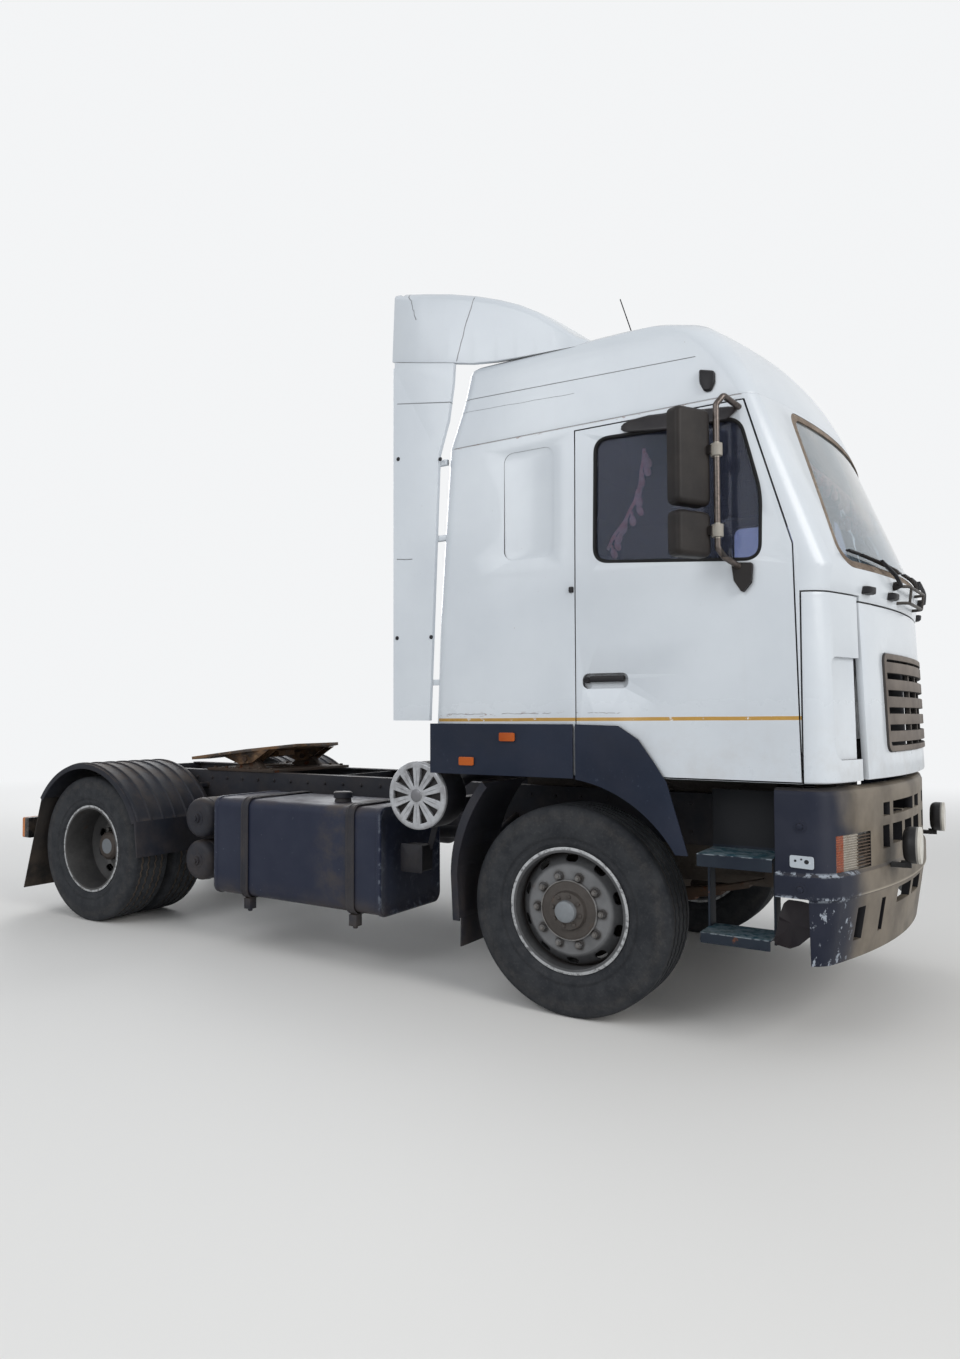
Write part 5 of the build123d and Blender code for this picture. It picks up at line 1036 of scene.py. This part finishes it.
# rear to front: x, top and lower edge heights of the deflector, how far its lower edge stands off
DEFLECTOR = np.array([(1.800, 2.788, 2.770, 0.002), (1.808, 2.797, 2.761, 0.006),
                      (1.840, 2.808, 2.750, 0.012), (1.930, 2.815, 2.737, 0.022),
                      (2.050, 2.806, 2.724, 0.027), (2.180, 2.795, 2.722, 0.026),
                      (2.280, 2.786, 2.726, 0.018), (2.318, 2.778, 2.760, 0.004)])
black_rubber = weathered("black_rubber", (0.006, 0.006, 0.007), (0.012, 0.012, 0.013), rough=0.60, dust=0.08,
                         clean_above=1.0, chips=0.1)
smoked = weathered("smoked_plastic", (0.014, 0.013, 0.015), (0.030, 0.028, 0.031), rough=0.22, dust=0.2,
                   clean_above=4.0)


def bead(line, section, place):
    """Section of (outwards, height) carried along a closed flat line, outwards being square to the line."""
    run = np.roll(line, -1, 0) - np.roll(line, 1, 0)
    out = np.stack([run[:, 1], -run[:, 0]], -1) / np.linalg.norm(run, axis=1, keepdims=True)
    out *= np.sign(((line - line.mean(0)) * out).sum(1).mean())
    section = np.asarray(section, float)
    flat = line[:, None] + out[:, None] * section[None, :, :1]
    height = np.broadcast_to(section[None, :, 1], flat.shape[:2])
    return sheet_of(place(flat[..., 0], flat[..., 1], height), wrap_rows=True, wrap_columns=True)


for side, label in SIDES:
    piece(f"window_rubber_{label}", [bead(window_line, RUBBER_SECTION, on_side(side))], black_rubber,
          f"door_{label}")
    x = np.linspace(DEFLECTOR[0, 0], DEFLECTOR[-1, 0], 40)
    high, down, off = (np.interp(x, DEFLECTOR[:, 0], DEFLECTOR[:, k]) for k in (1, 2, 3))
    # the blade hangs from its top edge and stands off by a power of the way down, v
    v = np.linspace(0, 1, 9)[:, None]
    blade = on_side(side)(np.broadcast_to(x, (9, 40)), high + (down - high) * v, 0.003 + off * v ** 0.7)
    piece(f"wind_deflector_{label}", [sheet_of(blade)], smoked, f"door_{label}", wall=0.0022)

pane = Finish("window_glass")
pane.colour = pane.mottled((0.38, 0.42, 0.58), (0.27, 0.33, 0.46), 2.5, 2.0, 0.45, 0.85, rough=0.5)
window_glass = pane.done(0.0, transmission_weight=0.94, ior=1.18, specular_ior_level=0.25)
dress(window_glass, "door_glass_right", "door_glass_left")

# Windscreen: one curved bonded pane in a wide rubber seal that the sun has aged to brown, hazy with dust
# at its edges; two wipers are parked along its foot.
screen = Finish("screen_glass")
haze = screen.noise(2.2, 2.0, 0.5).band(0.35, 0.80)
screen.colour = screen.mix(haze, (0.44, 0.54, 0.62), (0.60, 0.62, 0.62))
dress(screen.done(0.0, transmission_weight=screen.blend(haze, 0.88, 0.70), ior=1.45), "windscreen")
seal = Finish("aged_seal")
seal.colour = seal.mottled((0.135, 0.098, 0.072), (0.27, 0.215, 0.165), 6.0, 8.0)
cracked = seal.cells(55.0, "DISTANCE_TO_EDGE").band(0.06, 0.0)
seal.lay(cracked * 0.7, (0.035, 0.024, 0.018))
# painted shade in the corners
seal.lay(seal.corners(0.02) * 0.7, (0.030, 0.022, 0.018))
seal.emboss(cracked, -0.001)
dress(seal.done(0.75), "windscreen_rubber", edge=0.005)
# front of the cab between the flap's top and the drip line: height, half width, front, drop
CAB_FRONT = np.array([(1.940, 1.250, 1.372, 0.225), (2.075, 1.249, 1.388, 0.225),
                      (2.835, 1.240, 1.090, 0.190)])
# pivot (y, z), blade ends (y, z)
WIPERS = [((-0.520, 2.040), (-1.010, 2.150), (-0.420, 2.112)),
          ((0.300, 2.040), (-0.330, 2.118), (0.330, 2.112))]
WIPER_FOOT = [(0, 0.020), (0.014, 0.020), (0.030, 0.016), (0.040, 0.013), (0.043, 0.0)]


def on_front(y, z, off):
    """Point on the cab's bowed front at (y, z), moved forward by off."""
    half, front, drop = (np.interp(z, CAB_FRONT[:, 0], CAB_FRONT[:, k]) for k in (1, 2, 3))
    return np.stack([bowed(y, half, front, drop) + off, np.asarray(y, float), np.asarray(z, float)], -1)


wiper_parts = []
for pivot, left_end, right_end in WIPERS:
    y, z = np.linspace(left_end, right_end, 14).T
    at = np.array([pivot, ((left_end[0] + right_end[0]) / 2 - 0.03, (left_end[1] + right_end[1]) / 2)])
    arm_y, arm_z = (np.interp(np.linspace(0, 1, 8), (0, 1), at[:, k]) for k in (0, 1))
    for line, size in ((on_front(y, z, 0.012), (0.004, 0.010, 0.002, 3)),
                       (on_front(y[2:-2], z[2:-2] - 0.004, 0.026), (0.003, 0.005, 0.002, 3)),
                       (on_front(arm_y, arm_z, np.linspace(0.030, 0.034, 8)), (0.005, 0.009, 0.003, 3))):
        wiper_parts.append(carried(line, rounded_box_line(*size), up=(1.0, 0, 0)))
    wiper_parts.append(turned(WIPER_FOOT, on_front(*pivot, -0.004), (1, 0, 0.25), 20))
piece("wipers", wiper_parts, black_trim, "cab")

# Grab loop and little hooded lamps under the windscreen: bent steel rod, its black paint worn, and moulded
# boxes screwed to the cab above the flap.
LOOP_Z = (2.046, 1.972)
HOOD = [(0, -0.006), (1, -0.006), (1, 0.016), (0.85, 0.028), (0.6, 0.032), (0, 0.032)]
loop_parts = []
for z, low, high in ((LOOP_Z[0], -0.470, -0.010), (LOOP_Z[1], -0.440, -0.040)):
    points = [on_front(y, z, off - 0.004) for y, off in ((low, 0.0), (low + 0.02, 0.050),
                                                         (high - 0.02, 0.050), (high, 0.0))]
    loop_parts.append(carried(rounded(points, 0.030, closed=False), circle(0.0075)))
for y in (-0.405, -0.075):
    loop_parts.append(carried([on_front(y, z, 0.046) for z in (LOOP_Z[1], 2.009, LOOP_Z[0])], circle(0.006),
                              up=(0, 1.0, 0)))
loop_steel = weathered("loop_steel", (0.030, 0.029, 0.030), (0.09, 0.08, 0.07), rough=0.45, dust=0.2,
                       rust=0.35, clean_above=1.0, metallic=0.3)
piece("grab_loop", loop_parts, loop_steel, "cab")
boxes = [domed(rounded([(y - 0.042, 1.972), (y + 0.042, 1.972), (y + 0.036, 2.006), (y - 0.036, 2.006)],
                       0.008), on_front, HOOD) for y in (-0.860, -0.560, 0.560, 0.860)]
piece("nose_boxes", boxes, black_trim, "cab")

# High roof, spoiler and side fairings: moulded in reinforced plastic and painted with the cab. Joints show
# as thin dark lines; the spoiler is cracked and has lost its rear top corner, and each fairing is patched
# at the top and screwed on with black screws.
# start and end (x, z) of each line, half width, wander
ROOF_SEAMS = [((0.922, 3.089), (2.137, 3.048), 0.0028, 0.0), ((0.935, 3.022), (1.560, 2.998), 0.0010, 0.01)]
SPOILER_SEAMS = [((0.990, 3.634), (0.896, 3.302), 0.004, 0.02),
                 ((0.590, 3.760), (0.650, 3.590), 0.0034, 0.06)]
FAIRING_SEAMS = [((0.539, 3.140), (0.892, 3.080), 0.0035, 0.004),
                 ((0.535, 2.290), (0.640, 2.280), 0.0035, 0.01)]
dress(cab_enamel("roof_plastic", seams=ROOF_SEAMS), "high_roof", edge=0.003)
dress(cab_enamel("spoiler_plastic", seams=SPOILER_SEAMS, dark_back=False), "roof_spoiler", edge=0.003)
dress(cab_enamel("fairing_plastic", seams=FAIRING_SEAMS, dark_back=False), "side_fairings", edge=0.003)
SCREW_Y = 1.2475
SCREWS = [(0.547, 2.836), (0.815, 2.792), (0.540, 1.863), (0.757, 1.858)]
SCREW_HEAD = [(0, 0.011), (0.003, 0.0105), (0.006, 0.006), (0.007, 0.0)]
for side, label in SIDES:
    heads = [turned(SCREW_HEAD, (x, side * SCREW_Y, z), (0, side, 0), 16) for x, z in SCREWS]
    piece(f"fairing_screws_{label}", heads, black_trim, "cab")
COVER_LINE = rounded([(2.157, 2.978), (2.224, 2.958), (2.226, 2.905), (2.210, 2.868), (2.180, 2.872),
                      (2.160, 2.915)], 0.012)
COVER = [(0, -0.004), (1, -0.004), (1, 0.012), (0.86, 0.020), (0.5, 0.023), (0, 0.023)]
for side, label in SIDES:
    piece(f"roof_cover_{label}", [domed(COVER_LINE, on_side(side), COVER)], black_trim, "cab")
AERIAL_FOOT = (1.753, -0.900, 3.296)
AERIAL_TIP = (1.672, -0.900, 3.552)
rod = carried(np.linspace(AERIAL_FOOT, AERIAL_TIP, 12), circle(0.0028, 8), up=(0, 1.0, 0))
base = turned([(0, 0.018), (0.008, 0.016), (0.020, 0.007), (0.040, 0.004), (0.040, 0.0)], AERIAL_FOOT,
              (-0.3, 0, 1), 20)
piece("aerial", [rod, base], black_trim, "cab")

# Front flap and corner panels: moulded panels in the cab's white; the flap opens over the radiator and the
# hollow channels beside it lead air round the cab's corners.
dress(cab_enamel("panel_plastic"), "front_flap", "corner_panels", edge=0.006)

# Grille: slats moulded in black plastic that the sun has bleached to brown-grey, clipped into the flap,
# with a plain middle; the slats' faces that do not look forward, and the corners, are darkened as painted
# shade.
grille = Finish("grille_plastic")
grille.colour = grille.mottled((0.075, 0.060, 0.050), (0.155, 0.130, 0.110), 5.0, 8.0, 0.25, 0.7, rough=0.6)
# painted shade: faces that do not look forward are near black
grille.colour = grille.mix(grille.ahead().band(0.2, 0.8), (0.030, 0.026, 0.024), grille.colour)
# painted shade in the corners
grille.lay(grille.corners(0.03) * 0.8, (0.012, 0.010, 0.009))
grille.emboss(grille.noise(260.0, 3.0), 0.0003)
dress(grille.done(0.65), "grille", edge=0.003)

# Dark plastic skirts and wheel-arch flares under the cab, moulded in grained blue-black and scuffed by
# boots and stones; small amber marker lamps are clipped to the skirts.
trim_plastic = weathered("trim_plastic", (0.009, 0.014, 0.028), (0.017, 0.023, 0.041), dust=0.2,
                         clean_above=0.9, chips=0.5, grain=260.0, gloss=0.15)
dress(trim_plastic, "cab_skirts", "door_flare_right", "door_flare_left", edge=0.002)
amber_lens = weathered("amber_lens", (0.34, 0.060, 0.008), (0.46, 0.11, 0.018), rough=0.25, dust=0.3,
                       depth=0.0002, clean_above=1.0, chips=0.1)
dress(amber_lens, "marker_lamps", edge=0.006)

# Mirrors: two grained black housings turned on a bent steel tube, held by pale moulded clamps; the mirror
# glass faces the driver from the back of each housing.
TUBE_X = 2.265
TUBE_Y = 1.375
CLAMP_Z = (2.566, 2.222)
HEAD_TURN = radians(30)
HEAD_MIDDLE = 0.101
HEAD_REAR = 0.082
GLASS_HALF = 0.085
mirror = Finish("mirror_parts")
from_tube = (mirror.x - TUBE_X).reach(abs(mirror.y) - TUBE_Y)
tube = from_tube.band(0.0150, 0.0140) | mirror.z.band(2.7465, 2.7480)
tube |= mirror.z.band(2.1112, 2.1100) * abs(mirror.y).band(1.2745, 1.2755)
clamps = from_tube.band(0.0275, 0.0255) * (mirror.z.near(CLAMP_Z[0], 0.040)
                                           | mirror.z.near(CLAMP_Z[1], 0.040))
clamps = clamps.band(0.05, 0.10)
mirror.colour = mirror.mottled((0.011, 0.009, 0.009), (0.026, 0.022, 0.020), 5.0, 7.0)
mirror.lay(clamps, mirror.mix(mirror.noise(30.0, 6.0), (0.36, 0.34, 0.30), (0.22, 0.20, 0.175)))
worn_tube = mirror.mottled((0.13, 0.11, 0.10), (0.055, 0.045, 0.040), 70.0, 8.0, 0.35, 0.75, rough=0.7)
mirror.lay(tube * clamps.rest(), worn_tube)
mirror.emboss(mirror.noise(300.0, 3.0), 0.0003)
dress(mirror.done(mirror.blend(tube, 0.5, 0.30), metallic=tube * 0.7, specular_ior_level=0.22),
      "mirror_right", "mirror_left", edge=0.003)
silvered = Finish("mirror_glass")
speckle = silvered.noise(9.0, 9.0, 0.7).band(0.55, 0.8)
silvered.colour = silvered.mix(speckle, (0.62, 0.66, 0.68), (0.30, 0.28, 0.25))
silvered_glass = silvered.done(silvered.blend(speckle, 0.03, 0.35), metallic=0.95)


def on_back(side, middle):
    """Place on a mirror housing's rear face: across it from its middle, up, and off it."""
    def place(a, b, h):
        local_x, local_y = -HEAD_REAR - h, -HEAD_MIDDLE + a
        x = TUBE_X + local_x * cos(HEAD_TURN) + local_y * sin(HEAD_TURN)
        y = -TUBE_Y - local_x * sin(HEAD_TURN) + local_y * cos(HEAD_TURN)
        return np.stack([x, -side * y, middle + b], -1)
    return place


for side, label in SIDES:
    glasses, frames = [], []
    for low, high in ((2.330, 2.745), (2.112, 2.306)):
        half = (high - low) / 2 - 0.010
        outline = rounded([(-GLASS_HALF, -half), (GLASS_HALF, -half), (GLASS_HALF, half),
                           (-GLASS_HALF, half)], 0.030)
        place = on_back(side, (low + high) / 2)
        glasses.append(domed(outline, place, [(0, -0.001), (1, -0.001), (1, 0.0012), (0.97, 0.0020),
                                              (0, 0.0026)]))
        frames.append(bead(outline, [(-0.004, -0.002), (-0.004, 0.003), (0.001, 0.006), (0.006, 0.004),
                                     (0.007, -0.002)], place))
    piece(f"mirror_glass_{label}", glasses, silvered_glass, f"door_{label}")
    piece(f"mirror_frames_{label}", frames, black_trim, f"door_{label}")

# Tasselled fringe inside the glass: dusty pink chenille tassels on a narrow braid, swagged across the
# windscreen and hung down the rear edge of each door window.
BRAID = 0.016
TASSEL_STEP = 0.045
# along, radius: knotted head, neck and loose skirt
TASSEL = [(0.0, 0.0), (0.001, 0.006), (0.008, 0.009), (0.015, 0.006), (0.018, 0.005), (0.027, 0.011),
          (0.045, 0.016), (0.062, 0.013), (0.070, 0.005), (0.071, 0.0)]
SWAG_HALF = 1.06
SWAG_Z, SWAG_RISE = 2.50, 0.22
WINDOW_FRINGE_Y = 1.165
DROP = [(1.872, 2.690), (1.856, 2.545), (1.826, 2.445), (1.776, 2.365), (1.728, 2.302), (1.688, 2.236)]
fringe = Finish("fringe_chenille")
pile = fringe.noise(420.0, 4.0, 0.6)
fringe.colour = fringe.mottled((0.76, 0.25, 0.19), (0.86, 0.50, 0.41), 24.0, 6.0)
fringe.lay(pile.band(0.55, 0.70) * 0.5, (0.28, 0.07, 0.06))
fringe.emboss(pile, 0.0012)
fringe_cloth = fringe.done(0.95, sheen_weight=0.3)


def hung_fringe(name, line):
    """Braid that follows a line, waved to and fro by a few millimetres, with a tassel hung at every step."""
    line = np.asarray(line, float)
    run = np.concatenate([[0], np.cumsum(np.linalg.norm(np.diff(line, axis=0), axis=1))])
    at = np.linspace(0, run[-1], int(run[-1] / 0.008) + 1)
    path = np.stack([np.interp(at, run, line[:, k]) for k in range(3)], -1)
    along = np.gradient(path, axis=0)
    along /= np.linalg.norm(along, axis=1, keepdims=True)
    fall = np.array((0, 0, -1.0)) + along * along[:, 2:]
    fall /= np.linalg.norm(fall, axis=1, keepdims=True)
    wave = 0.002 * np.sin(at * 40.0)
    top = path + np.stack([wave, wave, 0 * at], -1)
    foot = top + BRAID * fall
    braid = piece(name + "_braid", [sheet_of(np.stack([top, (top + foot) / 2, foot]))], fringe_cloth, "cab")
    drops = [turned(TASSEL, [np.interp(a, at, foot[:, k]) for k in range(3)],
                    (0.40 * sin(a * 31), 0.12 * cos(a * 47), -1), 12)
             for a in np.arange(TASSEL_STEP / 2, run[-1], TASSEL_STEP)]
    tassels = piece(name + "_tassels", drops, fringe_cloth, "cab", sharp=radians(60))


swag = np.linspace(-SWAG_HALF, SWAG_HALF, 60)
hung_fringe("screen_fringe", on_front(swag, SWAG_Z + SWAG_RISE * (swag / SWAG_HALF) ** 2,
                                      -0.060 - 0.05 * (swag / SWAG_HALF) ** 4))
for side, label in SIDES:
    hung_fringe(f"window_fringe_{label}", [(x, side * WINDOW_FRINGE_Y, z) for x, z in DROP])

# Inside the cab: two foam seats and a bunk mattress, woven covers with sewn channels, on plain steel boxes,
# and a dark moulded dashboard with the steering wheel.
SEAT_Y = 0.760
BACK_LEAN = radians(-80)
BOX_TOP = 1.566
PAD_Z = 1.630
cover = Finish("woven_cover")
cover.colour = cover.mottled((0.040, 0.042, 0.052), (0.085, 0.085, 0.098), 7.0, 7.0)
cover.lay(cover.y.sine(95.0).band(0.72, 0.80) * 0.5, (0.16, 0.13, 0.11))
cover.emboss(cover.x.sine(1300.0) * cover.y.sine(1300.0), 0.0006)
cover.emboss(cover.noise(9.0, 6.0), 0.004, 0.5)
woven_cover = cover.done(0.92, sheen_weight=0.3)


def cushion(size, channels, crown=0.30, pull=0.05, steps=44):
    """Crowned pad over a rectangle: u and v run from -1 to 1, the top rises as (1 - u^6)(1 - v^6) to a low
    power, sides pull in between the corners, sewn channels sink it along lines of u; it is flatter below."""
    u, v = np.meshgrid(np.linspace(-1, 1, steps), np.linspace(-1, 1, steps), indexing="ij")
    half_x, half_y, half_z = (s / 2 for s in size)
    body = ((1 - u ** 6) * (1 - v ** 6)) ** 0.32
    sunk = sum((np.exp(-((u - at) / 0.035) ** 2) for at in channels), 0 * u)
    x = half_x * u * (1 - pull * (1 - v ** 2) * u ** 2)
    y = half_y * v * (1 - pull * (1 - u ** 2) * v ** 2)
    top = half_z * body * (1 - crown * (u ** 2 + v ** 2) / 2) * (1 - 0.22 * sunk)
    return [sheet_of(np.stack([x, y, top], -1)), sheet_of(np.stack([x, y, -half_z * body], -1)[::-1])]


def covered(name, shapes, middle, lean=0.0):
    """Cushion set down with its middle at a point, after leaning back about Y."""
    turn = np.array([[cos(lean), 0, sin(lean)], [0, 1, 0], [-sin(lean), 0, cos(lean)]])
    moved = [(points @ turn.T + middle, faces) for points, faces in shapes]
    return piece(name, moved, woven_cover, "cab", sharp=radians(60))


for side, label in SIDES:
    seat = cushion((0.505, 0.49, 0.135), (-0.45, 0.0, 0.45))
    covered(f"seat_cushion_{label}", seat, (1.700, side * SEAT_Y, PAD_Z))
    back = cushion((0.66, 0.47, 0.115), (-0.55, -0.15, 0.25))
    covered(f"seat_back_{label}", back, (1.437, side * SEAT_Y, 1.985), BACK_LEAN)
mattress = cushion((0.455, 2.34, 0.135), (), crown=0.1, pull=0.02)
covered("bunk_mattress", mattress, (1.070, 0, PAD_Z))
seat_boxes = []
for low, high in (((1.560, -0.910, 1.205), (1.840, -0.610, BOX_TOP)),
                  ((1.560, 0.610, 1.205), (1.840, 0.910, BOX_TOP)),
                  ((0.845, -1.148, 1.351), (1.258, 1.148, BOX_TOP))):
    low, high = np.array(low), np.array(high)
    middle, half = (low + high) / 2, (high - low) / 2
    rings = [(low[2], 0.004), (low[2], 0.0), (high[2] - 0.004, 0.0), (high[2], 0.004)]
    seat_boxes.append(sheet_of(box_skin(middle[:2], half[:2], 0.02, 2, rings, steps=5), wrap_columns=True))
piece("seat_boxes", seat_boxes, gear_paint, "cab", stands_for=["seats"])
dress(weathered("dash_plastic", (0.022, 0.021, 0.022), (0.045, 0.043, 0.043), rough=0.6, dust=0.35,
                clean_above=1.0, grain=320.0), "dashboard", edge=0.004)
